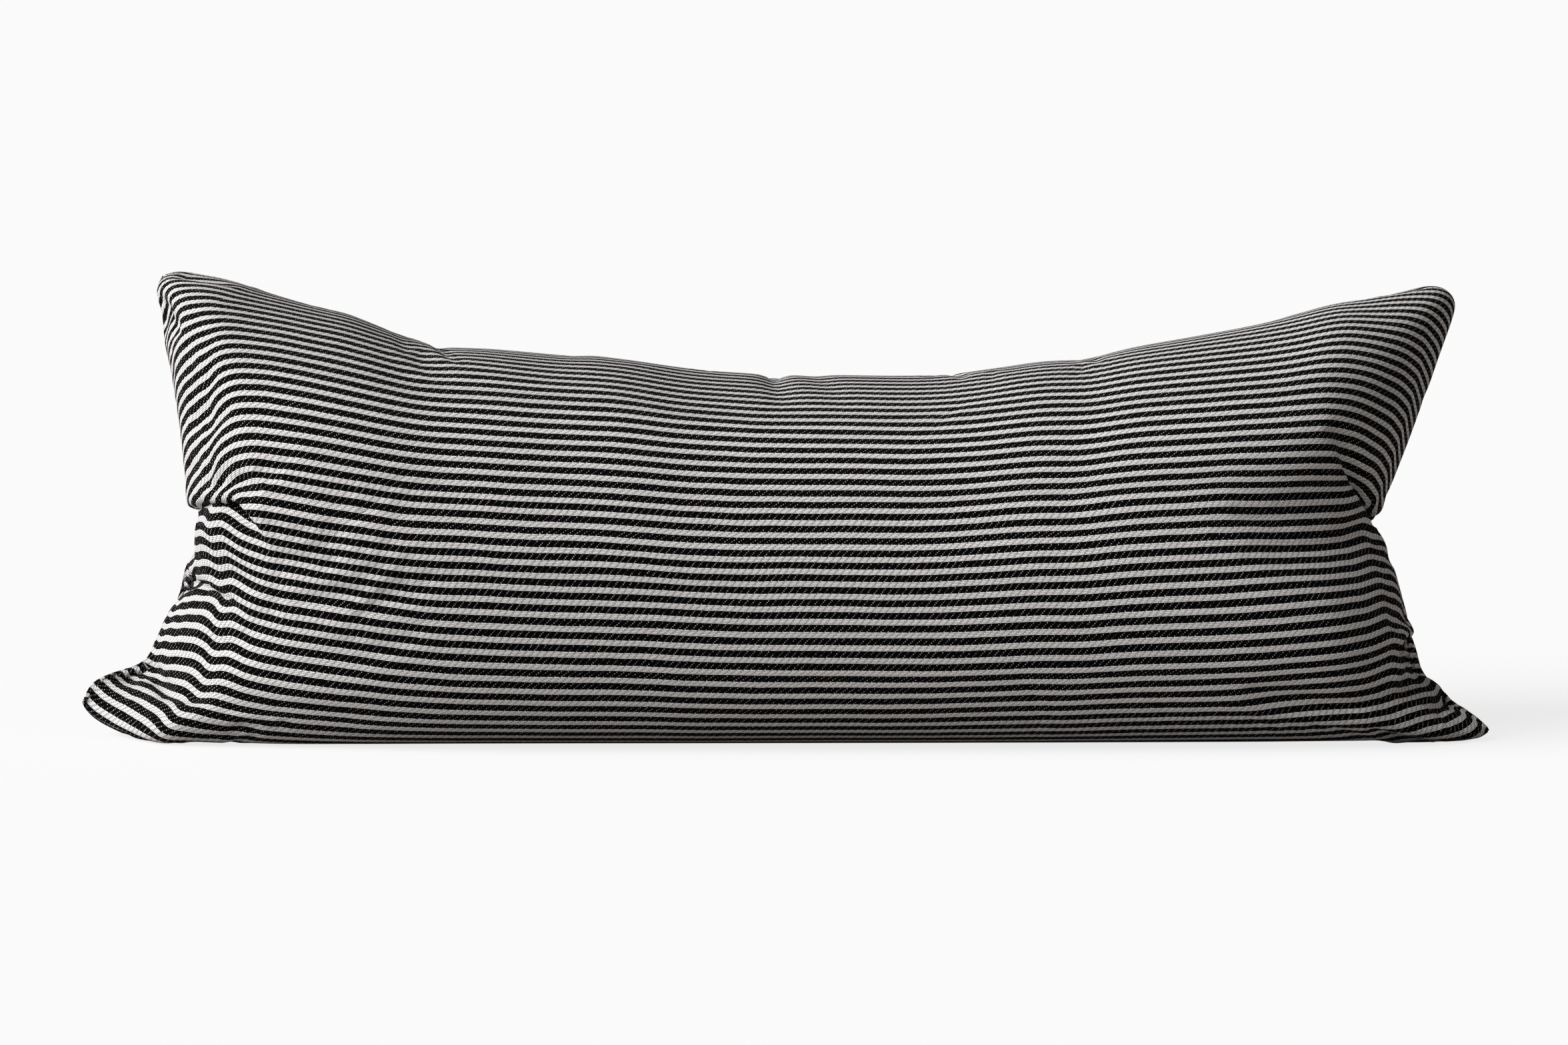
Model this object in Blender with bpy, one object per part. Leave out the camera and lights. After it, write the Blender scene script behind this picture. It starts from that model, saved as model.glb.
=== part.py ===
"""A long lumbar throw pillow that stands on its bottom seam and leans back.

Frame: metres, +Z up, +X along the pillow, -Y the striped front that faces the viewer.
The origin is the centre of the whole pillow's box, at the floor.

From the outside in: a woven cover of two panels, sewn along three edges and closed by a
zip along the bottom edge, then an insert of two plain panels, then the fibre fill.
Every layer is the same leaning form, and an inner layer is inset from the one around it.
"""
import math

import bmesh
import bpy
import numpy as np
from mathutils import Matrix

# ---------------------------------------------------------------- the leaning form
# Depths run back from the foremost point of the belly, heights run up from the floor.
HALF_LENGTH = 0.458            # middle to an ear tip, along the bottom seam
TOP_HALF_LENGTH = (0.407, 0.432)   # middle to the top corner, left and right
WAIST = (0.048, 0.054)         # how far the side seams pull in between the corners
WAIST_POWER = 0.6              # below 1, the waist pulls in soon above each corner

BOTTOM_SEAM = (0.068, 0.0)     # depth and height of the bottom seam, at the middle
EAR_START = 0.87               # share of the half length where an ear begins
EAR_SETBACK = (0.042, 0.017)   # how far an ear tip stands behind the bottom seam
EAR_LIFT = (0.022, 0.012)      # how far an ear tip stands above it

TOP_SEAM = (0.203, 0.217)      # depth and height of the top seam, at the middle
TOP_CORNER_SETBACK = 0.042     # how much further back the top corners stand
TOP_CORNER_RISE = (0.067, 0.058)   # how much higher they stand, left and right
SETBACK_POWER = 4.0            # how late the top seam bends back towards its corners
RISE_POWER = 1.8               # how late it rises to them

FRONT_LOW_PULL = (-0.112, -0.020)    # handles of the front's section curve
FRONT_HIGH_PULL = (-0.232, 0.012)
BACK_LOW_PULL = (0.186, -0.092)      # handles of the back's section curve
BACK_HIGH_PULL = (0.118, 0.010)
END_POWER = 7                  # how late the pillow thins towards its two ends
END_ROUNDNESS = 0.6

COLUMNS = 20                   # faces along the pillow
ROWS = 10                      # faces from seam to seam
END_CROWDING = 0.5             # share of the columns and rows drawn towards the edges

# ---------------------------------------------------------------- layers
CLEARANCE = 0.0004             # between two layers of cloth that touch
SEAM_SPLIT = 0.0005            # half the gap between two panels along their seam
COVER_THICKNESS = 0.0012
COVER_ALLOWANCE = 0.008        # seam allowance turned in from the edge
INSERT_SEAM_INSET = 0.015
INSERT_END_INSET = 0.058       # the insert doesn't reach into the cover's corners
INSERT_FACE_INSET = 0.0032
INSERT_THICKNESS = 0.0006
INSERT_ALLOWANCE = 0.006
FILL_SEAM_INSET = 0.026
FILL_END_INSET = 0.090
FILL_FACE_INSET = 0.0052
HANDLE_SHARE = 0.75            # a cubic curve's middle moves 3/4 as far as its handles
CORNER_ALLOWANCE = 0.0004      # the allowances are trimmed down at the corners
CORNER_TRIM_SLOPE = 0.09       # and widen by this much for each metre away from them
FOLD_SHARPEST = 0.35           # least sine of half the angle of a turned-in edge
THREAD_DEPTH = 0.0010          # an overlocked thread wraps the allowance's raw edge
THREAD_START = (2, 3)          # columns and rows from a corner to the start of a thread

# ---------------------------------------------------------------- zip
ZIP_HALF_LENGTH = 0.370        # half the length of the chain
ZIP_SLOT_HALF_WIDTH = 0.0055   # the panels stop this far from the zip's middle
ZIP_SLOT_RISE = 0.0045         # the slot's lips stand this far off the floor
ZIP_LIP_REACH = 0.04           # share of the way to the top seam that a lip takes up
ZIP_SLOT_TAPER = (0.402, 0.424)    # where the slot closes up into a plain seam
ZIP_HEM = 0.0008               # turned edge of the panels along the slot
CHAIN_HEIGHT = 0.0069          # middle of the chain above the floor
COIL_GAP = 0.0008              # middle of the zip to a coil's inner side
COIL_SIZE = (0.0016, 0.0022)   # width and height of a coil
TAPE_WIDTH = 0.0100
TAPE_THICKNESS = 0.0006
TAPE_OVERRUN = 0.008           # the tapes run on past the stops
STITCH_OFFSET = 0.0090         # tape stitching to the middle of the zip
STITCH_RADIUS = 0.0003
STOP_SIZE = (0.0030, 0.0016, 0.0030)    # along the zip, across it, and in height
BOTTOM_STOP_SIZE = (0.0035, 0.0048, 0.0032)
STOP_GAP = 0.0005              # end of the coils to a stop

SLIDER_SIZE = (0.0110, 0.0090)     # along the zip and across it
SLIDER_PLATE = 0.0010
SLIDER_WEB = 0.0010            # thickness of the wedge that joins the two plates
SLIDER_PLAY = 0.0003           # room above and below the coils
BRIDGE_LENGTH = 0.0060
BRIDGE_WIDTH = 0.0022
BRIDGE_BAR = 0.0010
BRIDGE_ROOM = 0.0014           # height of the opening that holds the pull tab
TAB_LENGTH = 0.0220
TAB_WIDTH = 0.0055
TAB_THICKNESS = 0.0008
TAB_WINDOW = (0.0042, 0.0032)  # how far the tab's window reaches, and its width
TAB_END_STEPS = 8              # edges of the tab's round end
SLIDER_END_GAP = 0.0020        # the closed slider to the top stops

# ---------------------------------------------------------------- labels
LABEL_THICKNESS = 0.0003
COVER_LABEL_CELL = (5, 5)      # column and row of the panel's face that it lies behind
INSERT_LABEL_CELL = (15, 6)
LABEL_SPAN = (0.15, 0.85)      # share of that face which the label covers
LABEL_DROP = 0.0006            # face of the cloth to the middle of the label


# ---------------------------------------------------------------- the form as functions
def blend(low, high, share):
    return low + (high - low) * share


def smooth_step(low, high, value):
    share = min(max((value - low) / (high - low), 0.0), 1.0)
    return share * share * (3.0 - 2.0 * share)


def side_of(across):
    """Index of the left or the right value in a pair."""
    return 0 if across < 0.0 else 1


def fullness(across):
    """1 in the middle of the pillow, 0 at the two ends."""
    return (1.0 - abs(across) ** END_POWER) ** END_ROUNDNESS


def bottom_seam(across):
    """Depth and height of the bottom seam."""
    side = side_of(across)
    ear = smooth_step(EAR_START, 1.0, abs(across))
    return np.array([BOTTOM_SEAM[0] + EAR_SETBACK[side] * ear,
                     BOTTOM_SEAM[1] + EAR_LIFT[side] * ear])


def top_seam(across):
    """Depth and height of the top seam, which sags between its two corners."""
    rise = TOP_CORNER_RISE[side_of(across)]
    return np.array([TOP_SEAM[0] + TOP_CORNER_SETBACK * abs(across) ** SETBACK_POWER,
                     TOP_SEAM[1] + rise * abs(across) ** RISE_POWER])


def half_length(across, up):
    """Middle to the side seam, which is concave between the ear and the top corner."""
    side = side_of(across)
    straight = blend(HALF_LENGTH, TOP_HALF_LENGTH[side], up)
    return straight - WAIST[side] * (4.0 * up * (1.0 - up)) ** WAIST_POWER


def slot_closed(x):
    """0 along the zip, 1 where its slot has closed up into a plain seam."""
    return smooth_step(*ZIP_SLOT_TAPER, abs(x))


def form_point(facing, across, up, seam_inset=0.0, end_inset=0.0, face_inset=0.0,
               lift=0.0, slot=False):
    """A point of the pillow's skin, as x, depth and height.

    facing is "front" or "back", across runs from -1 to 1 along the pillow, and up from
    0 at the bottom seam to 1 at the top seam. lift is the lowest height allowed.
    """
    place = across * (1.0 - end_inset / HALF_LENGTH)
    low, high = bottom_seam(place), top_seam(place)
    chord = (high - low) / np.linalg.norm(high - low)
    low = low + chord * seam_inset
    high = high - chord * seam_inset
    if facing == "front":
        low_pull, high_pull = np.array(FRONT_LOW_PULL), np.array(FRONT_HIGH_PULL)
        outward = np.array([-chord[1], chord[0]])
    else:
        low_pull, high_pull = np.array(BACK_LOW_PULL), np.array(BACK_HIGH_PULL)
        outward = np.array([chord[1], -chord[0]])
    full = fullness(across)
    inward = -outward * face_inset / HANDLE_SHARE
    low_handle = low + (low_pull + inward) * full
    high_handle = high + (high_pull + inward) * full
    rise = 0.0
    if slot:
        closed = slot_closed(across * HALF_LENGTH)
        shift = blend(ZIP_SLOT_HALF_WIDTH, SEAM_SPLIT, closed)
        low = low + np.array([-shift if facing == "front" else shift, 0.0])
        rise = ZIP_SLOT_RISE * (1.0 - closed) * max(0.0, 1.0 - up / ZIP_LIP_REACH)
    rest = 1.0 - up
    depth, height = (rest ** 3 * low + 3.0 * rest ** 2 * up * low_handle
                     + 3.0 * rest * up ** 2 * high_handle + up ** 3 * high)
    reach = half_length(across, smooth_step(0.0, 1.0, up)) - end_inset
    return np.array([across * reach, depth, max(height, lift) + rise])


def crowded(count):
    """count + 1 values from -1 to 1, closer together towards both ends."""
    even = np.linspace(-1.0, 1.0, count + 1)
    return blend(even, np.sin(even * math.pi / 2.0), END_CROWDING)


def skin_grid(facing, **layer):
    """Points of one face of a layer, by column and row."""
    return np.array([[form_point(facing, across, (up + 1.0) / 2.0, **layer)
                      for up in crowded(ROWS)] for across in crowded(COLUMNS)])


def unit(vector):
    return vector / np.linalg.norm(vector)


def outward_normals(grid, facing):
    along = np.gradient(grid, axis=0)
    upward = np.gradient(grid, axis=1)
    normals = np.cross(along, upward)
    if facing == "back":
        normals = -normals
    return normals / np.linalg.norm(normals, axis=2, keepdims=True)


def border(columns, rows):
    """Column and row of every border point, once around."""
    bottom = [(i, 0) for i in range(columns)]
    right = [(columns, j) for j in range(rows)]
    top = [(i, rows) for i in range(columns, 0, -1)]
    left = [(0, j) for j in range(rows, 0, -1)]
    return bottom + right + top + left


# ---------------------------------------------------------------- mesh helpers
def finish_object(name, mesh_data, material, origin=(0.0, 0.0, 0.0)):
    """Make an object whose origin is at the given world point."""
    shift = Matrix.Translation([-value for value in origin])
    bmesh.ops.transform(mesh_data, matrix=shift, verts=mesh_data.verts)
    bmesh.ops.recalc_face_normals(mesh_data, faces=mesh_data.faces)
    if mesh_data.calc_volume(signed=True) < 0.0:
        bmesh.ops.reverse_faces(mesh_data, faces=mesh_data.faces)
    mesh = bpy.data.meshes.new(name)
    mesh_data.to_mesh(mesh)
    mesh_data.free()
    mesh.materials.append(material)
    made = bpy.data.objects.new(name, mesh)
    made.location = origin
    bpy.context.scene.collection.objects.link(made)
    return made


def to_world(point):
    """x, depth and height to x, y and z: the middle of the box comes to the origin."""
    return (float(point[0] - CENTRE[0]), float(point[1] - CENTRE[1]), float(point[2]))


def add_grid(mesh_data, points):
    """Vertices of a grid of points."""
    return [[mesh_data.verts.new(to_world(p)) for p in column] for column in points]


def fill_grid(mesh_data, verts):
    """Triangles between the vertices, alike on every layer and split towards the corners."""
    columns, rows = len(verts) - 1, len(verts[0]) - 1
    for i in range(columns):
        for j in range(rows):
            ring = [verts[i][j], verts[i + 1][j], verts[i + 1][j + 1], verts[i][j + 1]]
            if (2 * i < columns) != (2 * j < rows):
                ring = ring[1:] + ring[:1]
            mesh_data.faces.new(ring[:3])
            mesh_data.faces.new((ring[2], ring[3], ring[0]))


def bridge_loops(mesh_data, loops):
    """Close the band between each loop of vertices and the next."""
    for first, second in zip(loops, loops[1:]):
        for k in range(len(first)):
            after = (k + 1) % len(first)
            mesh_data.faces.new((first[k], first[after], second[after]))
            mesh_data.faces.new((first[k], second[after], second[k]))


def swept_bar(name, path, sides, ups, material):
    """A bar of rectangular section along a path, with its half width and height as vectors."""
    mesh_data = bmesh.new()
    rings = []
    for point, side, up in zip(path, sides, ups):
        corners = (point - side - up, point + side - up, point + side + up, point - side + up)
        rings.append([mesh_data.verts.new(to_world(corner)) for corner in corners])
    bridge_loops(mesh_data, rings)
    mesh_data.faces.new(rings[0])
    mesh_data.faces.new(rings[-1])
    return finish_object(name, mesh_data, material)


def box(name, low, high, material):
    mesh_data = bmesh.new()
    bmesh.ops.create_cube(mesh_data, size=1.0)
    size = np.subtract(high, low)
    middle = np.add(high, low) / 2.0
    bmesh.ops.scale(mesh_data, vec=size, verts=mesh_data.verts)
    bmesh.ops.translate(mesh_data, vec=to_world(middle), verts=mesh_data.verts)
    return finish_object(name, mesh_data, material)


def plain_material(name, colour, roughness, metallic=0.0):
    material = bpy.data.materials.new(name)
    material.use_nodes = True
    shader = material.node_tree.nodes["Principled BSDF"]
    shader.inputs["Base Color"].default_value = (*colour, 1.0)
    shader.inputs["Roughness"].default_value = roughness
    shader.inputs["Metallic"].default_value = metallic
    material.diffuse_color = (*colour, 1.0)
    return material


# ---------------------------------------------------------------- sewn layers
class Layer:
    """Two panels of cloth sewn together around their border, allowances turned in."""

    def __init__(self, thickness, allowance, **form):
        self.thickness = thickness
        self.allowance = allowance
        self.border = border(COLUMNS, ROWS)
        self.grids = {facing: skin_grid(facing, **form) for facing in ("front", "back")}
        self.split_seam(form.get("slot", False))

    def inner_neighbour(self, facing, column, row):
        column = min(max(column, 1), COLUMNS - 1)
        row = min(max(row, 1), ROWS - 1)
        return self.grids[facing][column, row]

    def turned_in(self, column, row):
        """Direction in which the seam allowance turns in from a border point."""
        if column in (0, COLUMNS):
            middle = (self.inner_neighbour("front", column, row)
                      + self.inner_neighbour("back", column, row)) / 2.0
            return unit(middle - self.grids["front"][column, row])
        across = crowded(COLUMNS)[column]
        chord = unit(top_seam(across) - bottom_seam(across))
        return np.array([0.0, *(chord if row == 0 else -chord)])

    def split_seam(self, slot):
        """Part the two panels by a hair along their seam, across the allowances."""
        self.across_seam = {}
        self.turns = {place: self.turned_in(*place) for place in self.border}
        for column, row in self.border:
            turn = self.turns[column, row]
            sides = []
            for facing in ("front", "back"):
                tangent = (self.inner_neighbour(facing, column, row)
                           - self.grids[facing][column, row])
                sides.append(unit(tangent - turn * np.dot(tangent, turn)))
            self.across_seam[column, row] = unit(sides[0] - sides[1])
        for column, row in self.border:
            if slot and row == 0:
                continue
            offset = self.across_seam[column, row] * SEAM_SPLIT
            self.grids["front"][column, row] += offset
            self.grids["back"][column, row] -= offset

    def allowance_at(self, column, row):
        grid = self.grids["front"]
        corner = grid[COLUMNS * (2 * column > COLUMNS), ROWS * (2 * row > ROWS)]
        trimmed = CORNER_TRIM_SLOPE * np.linalg.norm(grid[column, row] - corner)
        full = self.allowance(grid[column, row][0], row)
        return min(full, max(trimmed, CORNER_ALLOWANCE))

    def panel(self, name, facing, material):
        """One panel as a closed shell: skin, inner face and turned-in allowance."""
        outer = self.grids[facing]
        inner = outer - outward_normals(outer, facing) * self.thickness
        towards = 1.0 if facing == "front" else -1.0
        fold_ends, fold_backs = [], []
        for column, row in self.border:
            seam = outer[column, row]
            turn = self.turns[column, row]
            tangent = unit(self.inner_neighbour(facing, column, row) - seam)
            half_angle = math.acos(float(np.clip(np.dot(tangent, turn), -1.0, 1.0))) / 2.0
            depth = self.thickness / max(math.sin(half_angle), FOLD_SHARPEST)
            inner[column, row] = seam + unit(tangent + turn) * depth
            end = seam + turn * self.allowance_at(column, row)
            fold_ends.append(end)
            fold_backs.append(end + towards * self.across_seam[column, row] * self.thickness)
        mesh_data = bmesh.new()
        outer_verts = add_grid(mesh_data, outer)
        inner_verts = add_grid(mesh_data, inner)
        fill_grid(mesh_data, outer_verts)
        fill_grid(mesh_data, inner_verts)
        loops = [[outer_verts[i][j] for i, j in self.border],
                 [mesh_data.verts.new(to_world(p)) for p in fold_ends],
                 [mesh_data.verts.new(to_world(p)) for p in fold_backs],
                 [inner_verts[i][j] for i, j in self.border]]
        bridge_loops(mesh_data, loops)
        return finish_object(name, mesh_data, material)

    def seam_thread(self, name, stations, material):
        """Overlock thread along the raw edges of both allowances."""
        path, sides, ups = [], [], []
        for column, row in stations:
            seam = (self.grids["front"][column, row] + self.grids["back"][column, row]) / 2.0
            turn = self.turns[column, row]
            start = self.allowance_at(column, row) + CLEARANCE + THREAD_DEPTH / 2.0
            path.append(seam + turn * start)
            sides.append(self.across_seam[column, row] * (self.thickness + SEAM_SPLIT))
            ups.append(turn * THREAD_DEPTH / 2.0)
        return swept_bar(name, path, sides, ups, material)


def thread_stations(edge):
    """Column and row of the border points that an edge's thread passes."""
    if edge in ("top", "bottom"):
        row = ROWS if edge == "top" else 0
        return [(i, row) for i in range(THREAD_START[0], COLUMNS - THREAD_START[0] + 1)]
    column = COLUMNS if edge == "right" else 0
    return [(column, j) for j in range(THREAD_START[1], ROWS - THREAD_START[1] + 1)]


def cover_allowance(x, row):
    """The allowance is full width but along the zip, where only a narrow hem turns in."""
    if row > 0:
        return COVER_ALLOWANCE
    return blend(ZIP_HEM, COVER_ALLOWANCE, slot_closed(x))


def insert_allowance(_x, _row):
    return INSERT_ALLOWANCE


def make_cover():
    cloth = plain_material("striped_twill", (0.80, 0.78, 0.76), 0.9)
    thread = plain_material("cover_thread", (0.72, 0.70, 0.67), 0.8)
    layer = Layer(COVER_THICKNESS, cover_allowance, slot=True)
    layer.panel("cover_front_panel", "front", cloth)
    layer.panel("cover_back_panel", "back", cloth)
    for edge in ("top", "left", "right"):
        layer.seam_thread("cover_seam_thread_" + edge, thread_stations(edge), thread)
    return layer


def make_insert():
    cloth = plain_material("insert_cotton", (0.86, 0.85, 0.82), 0.85)
    thread = plain_material("insert_thread", (0.80, 0.79, 0.76), 0.8)
    layer = Layer(INSERT_THICKNESS, insert_allowance, seam_inset=INSERT_SEAM_INSET,
                  end_inset=INSERT_END_INSET, face_inset=INSERT_FACE_INSET,
                  lift=COVER_THICKNESS + CLEARANCE)
    layer.panel("insert_front_panel", "front", cloth)
    layer.panel("insert_back_panel", "back", cloth)
    for edge in ("top", "bottom", "left", "right"):
        layer.seam_thread("insert_seam_thread_" + edge, thread_stations(edge), thread)
    return layer


def make_fill():
    """One closed body of fibre that fills the insert."""
    fibre = plain_material("polyester_fibre", (0.92, 0.92, 0.91), 0.95)
    lift = COVER_THICKNESS + INSERT_THICKNESS + 2.0 * CLEARANCE
    form = {"seam_inset": FILL_SEAM_INSET, "end_inset": FILL_END_INSET,
            "face_inset": FILL_FACE_INSET, "lift": lift}
    front = skin_grid("front", **form)
    back = skin_grid("back", **form)
    mesh_data = bmesh.new()
    front_verts = add_grid(mesh_data, front)
    back_verts = add_grid(mesh_data, back)
    for i, j in border(COLUMNS, ROWS):
        mesh_data.verts.remove(back_verts[i][j])
        back_verts[i][j] = front_verts[i][j]
    fill_grid(mesh_data, front_verts)
    fill_grid(mesh_data, back_verts)
    finish_object("fibre_fill", mesh_data, fibre)


def make_label(name, layer, facing, cell, drop, material):
    """A blank label that lies against one face of a panel, between two layers."""
    grid = layer.grids[facing]
    normals = outward_normals(grid, facing)
    column, row = cell
    steps = ((0, 0), (1, 0), (1, 1), (0, 1))
    middle = sum(grid[column + i, row + j] for i, j in steps) / 4.0
    normal = unit(sum(normals[column + i, row + j] for i, j in steps))
    share = LABEL_SPAN[1] - LABEL_SPAN[0]
    corners = [middle + (grid[column + i, row + j] - middle) * share for i, j in steps]
    mesh_data = bmesh.new()
    rings = []
    for depth in (drop - LABEL_THICKNESS / 2.0, drop + LABEL_THICKNESS / 2.0):
        rings.append([mesh_data.verts.new(to_world(corner - normal * depth))
                      for corner in corners])
    bridge_loops(mesh_data, rings)
    for ring in rings:
        mesh_data.faces.new(ring)
    finish_object(name, mesh_data, material)


# ---------------------------------------------------------------- zip
def make_zip_chain():
    tape_cloth = plain_material("zip_tape", (0.05, 0.05, 0.05), 0.8)
    nylon = plain_material("zip_nylon", (0.04, 0.04, 0.04), 0.45)
    thread = plain_material("zip_thread", (0.05, 0.05, 0.05), 0.8)
    metal = plain_material("zip_stop_metal", (0.25, 0.25, 0.26), 0.35, 1.0)
    middle = BOTTOM_SEAM[0]
    tape_reach = ZIP_HALF_LENGTH + TAPE_OVERRUN
    for side, sign in (("front", -1.0), ("back", 1.0)):
        inner = COIL_GAP + COIL_SIZE[0]
        bands = {
            "zip_coil_" + side: (COIL_GAP, inner, COIL_SIZE[1], ZIP_HALF_LENGTH, nylon),
            "zip_tape_" + side: (inner + CLEARANCE, inner + CLEARANCE + TAPE_WIDTH,
                                 TAPE_THICKNESS, tape_reach, tape_cloth),
        }
        for name, (near, far, height, reach, material) in bands.items():
            y_near, y_far = sorted((middle + sign * near, middle + sign * far))
            box(name, (-reach, y_near, CHAIN_HEIGHT - height / 2.0),
                (reach, y_far, CHAIN_HEIGHT + height / 2.0), material)
        make_tape_stitching(side, sign, tape_reach, thread)
        stop_y = middle + sign * (COIL_GAP + STOP_SIZE[1] / 2.0)
        stop_x = ZIP_HALF_LENGTH + STOP_GAP
        box("zip_top_stop_" + side,
            (stop_x, stop_y - STOP_SIZE[1] / 2.0, CHAIN_HEIGHT - STOP_SIZE[2] / 2.0),
            (stop_x + STOP_SIZE[0], stop_y + STOP_SIZE[1] / 2.0,
             CHAIN_HEIGHT + STOP_SIZE[2] / 2.0), metal)
    make_bottom_stop(middle, metal)


def make_tape_stitching(side, sign, reach, material):
    """A row of stitching that lies on the tape's inner face."""
    height = CHAIN_HEIGHT + TAPE_THICKNESS / 2.0 + SEAM_SPLIT + STITCH_RADIUS
    depth = BOTTOM_SEAM[0] + sign * STITCH_OFFSET
    ends = [np.array([x, depth, height]) for x in (-reach, reach)]
    side_vector = np.array([0.0, STITCH_RADIUS, 0.0])
    up_vector = np.array([0.0, 0.0, STITCH_RADIUS])
    swept_bar("zip_stitching_" + side, ends, [side_vector] * 2, [up_vector] * 2, material)


def make_bottom_stop(middle, metal):
    """The staple that holds both chains together at the end where the zip opens to."""
    reach = ZIP_HALF_LENGTH + STOP_GAP
    length, width, height = BOTTOM_STOP_SIZE
    box("zip_bottom_stop",
        (-reach - length, middle - width / 2.0, CHAIN_HEIGHT - height / 2.0),
        (-reach, middle + width / 2.0, CHAIN_HEIGHT + height / 2.0), metal)


def slider_centre():
    return ZIP_HALF_LENGTH - SLIDER_END_GAP - SLIDER_SIZE[0] / 2.0


def plate_height():
    """Middle of the chain to the near side of a slider plate."""
    return COIL_SIZE[1] / 2.0 + SLIDER_PLAY


def hinge_height():
    """Height of the pull tab's hinge axis, in the middle of the bridge's opening."""
    return CHAIN_HEIGHT - plate_height() - SLIDER_PLATE - BRIDGE_ROOM / 2.0


def slider_blocks():
    """Low and high corners of the plates, the wedge and the bridge."""
    middle, centre = BOTTOM_SEAM[0], slider_centre()
    half_x, half_y = SLIDER_SIZE[0] / 2.0, SLIDER_SIZE[1] / 2.0
    near = plate_height()
    far = near + SLIDER_PLATE
    web = SLIDER_WEB / 2.0
    sink = SLIDER_PLATE / 2.0
    blocks = [((centre - half_x, middle - half_y, CHAIN_HEIGHT + sign_low),
               (centre + half_x, middle + half_y, CHAIN_HEIGHT + sign_high))
              for sign_low, sign_high in ((near, far), (-far, -near))]
    blocks.append(((centre - half_x + sink, middle - web, CHAIN_HEIGHT - near - sink),
                   (centre + half_x - sink, middle + web, CHAIN_HEIGHT + near + sink)))
    bridge_top = CHAIN_HEIGHT - far
    bridge_low = bridge_top - BRIDGE_ROOM - BRIDGE_BAR
    half_bridge, half_width = BRIDGE_LENGTH / 2.0, BRIDGE_WIDTH / 2.0
    for start in (-half_bridge, half_bridge - BRIDGE_BAR):
        blocks.append(((centre + start, middle - half_width, bridge_low + sink),
                       (centre + start + BRIDGE_BAR, middle + half_width,
                        bridge_top + sink)))
    blocks.append(((centre - half_bridge, middle - half_width, bridge_low),
                   (centre + half_bridge, middle + half_width, bridge_low + BRIDGE_BAR)))
    return blocks


def make_slider():
    """Two plates joined by the wedge, and a bridge below them for the pull tab."""
    metal = plain_material("zip_slider_metal", (0.22, 0.22, 0.23), 0.35, 1.0)
    origin = to_world((slider_centre(), BOTTOM_SEAM[0], CHAIN_HEIGHT))
    blocks = slider_blocks()
    body = box("zip_slider", *blocks[0], metal)
    body.data.transform(Matrix.Translation([-value for value in origin]))
    body.location = origin
    for number, block in enumerate(blocks[1:]):
        cutter = box(f"slider_piece_{number}", *block, metal)
        cutter.hide_render = True
        cutter.display_type = "WIRE"
        union = body.modifiers.new(f"join_{number}", "BOOLEAN")
        union.operation = "UNION"
        union.solver = "EXACT"
        union.object = cutter
    return body


def make_pull_tab(slider):
    """A flat tab with a window; its end bar turns in the slider's bridge."""
    metal = plain_material("zip_pull_metal", (0.24, 0.24, 0.25), 0.35, 1.0)
    half_bar = TAB_THICKNESS / 2.0
    half_width, half_window = TAB_WIDTH / 2.0, TAB_WINDOW[1] / 2.0
    axis = (slider_centre(), BOTTOM_SEAM[0], hinge_height())
    outline = rounded_end(half_bar, half_width)
    window = [(-half_bar, -half_window), (-half_bar, half_window),
              (-TAB_WINDOW[0], half_window), (-TAB_WINDOW[0], -half_window)]
    mesh_data = bmesh.new()
    levels = []
    for level in (-half_bar, half_bar):
        rings = []
        for ring in (outline, window):
            rings.append([mesh_data.verts.new(to_world((axis[0] + x, axis[1] + y,
                                                        axis[2] + level)))
                          for x, y in ring])
        levels.append(rings)
    for ring in (0, 1):
        bridge_loops(mesh_data, [levels[0][ring], levels[1][ring]])
    for rings in levels:
        edges = []
        for ring in rings:
            for first, second in zip(ring, ring[1:] + ring[:1]):
                edges.append(mesh_data.edges.get((first, second)))
        bmesh.ops.triangle_fill(mesh_data, use_beauty=True, edges=edges)
    tab = finish_object("zip_pull_tab", mesh_data, metal, origin=to_world(axis))
    bpy.context.view_layer.update()
    tab.parent = slider
    tab.matrix_parent_inverse = slider.matrix_world.inverted()
    return tab


def rounded_end(half_bar, half_width):
    """Outline of the tab: square at the hinge, round at the free end."""
    centre = -TAB_LENGTH + half_width
    turns = [math.pi * k / TAB_END_STEPS for k in range(TAB_END_STEPS + 1)]
    arc = [(centre - half_width * math.sin(turn), half_width * math.cos(turn))
           for turn in turns]
    return [(half_bar, -half_width), (half_bar, half_width)] + arc


# ---------------------------------------------------------------- the whole pillow
def find_centre():
    """Middle of the cover's box along x and depth."""
    points = np.concatenate([skin_grid(facing, slot=True).reshape(-1, 3)
                             for facing in ("front", "back")])
    return (points.max(axis=0) + points.min(axis=0)) / 2.0


for existing in list(bpy.data.objects):
    bpy.data.objects.remove(existing, do_unlink=True)

CENTRE = find_centre()
cover = make_cover()
insert = make_insert()
make_fill()
label_cloth = plain_material("label_satin", (0.88, 0.88, 0.87), 0.5)
make_label("cover_care_label", cover, "back", COVER_LABEL_CELL,
           COVER_THICKNESS + LABEL_DROP, label_cloth)
make_label("insert_label", insert, "front", INSERT_LABEL_CELL, -LABEL_DROP, label_cloth)
make_zip_chain()
make_pull_tab(make_slider())
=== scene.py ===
"""Looks of a long striped lumbar pillow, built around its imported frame.

The cover is two panels of striped twill, cut flat and sewn together. They start on the
leaning form of the pillow, with its folds, and Blender's Cloth lets them swell and pucker.
"""
import math

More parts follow.
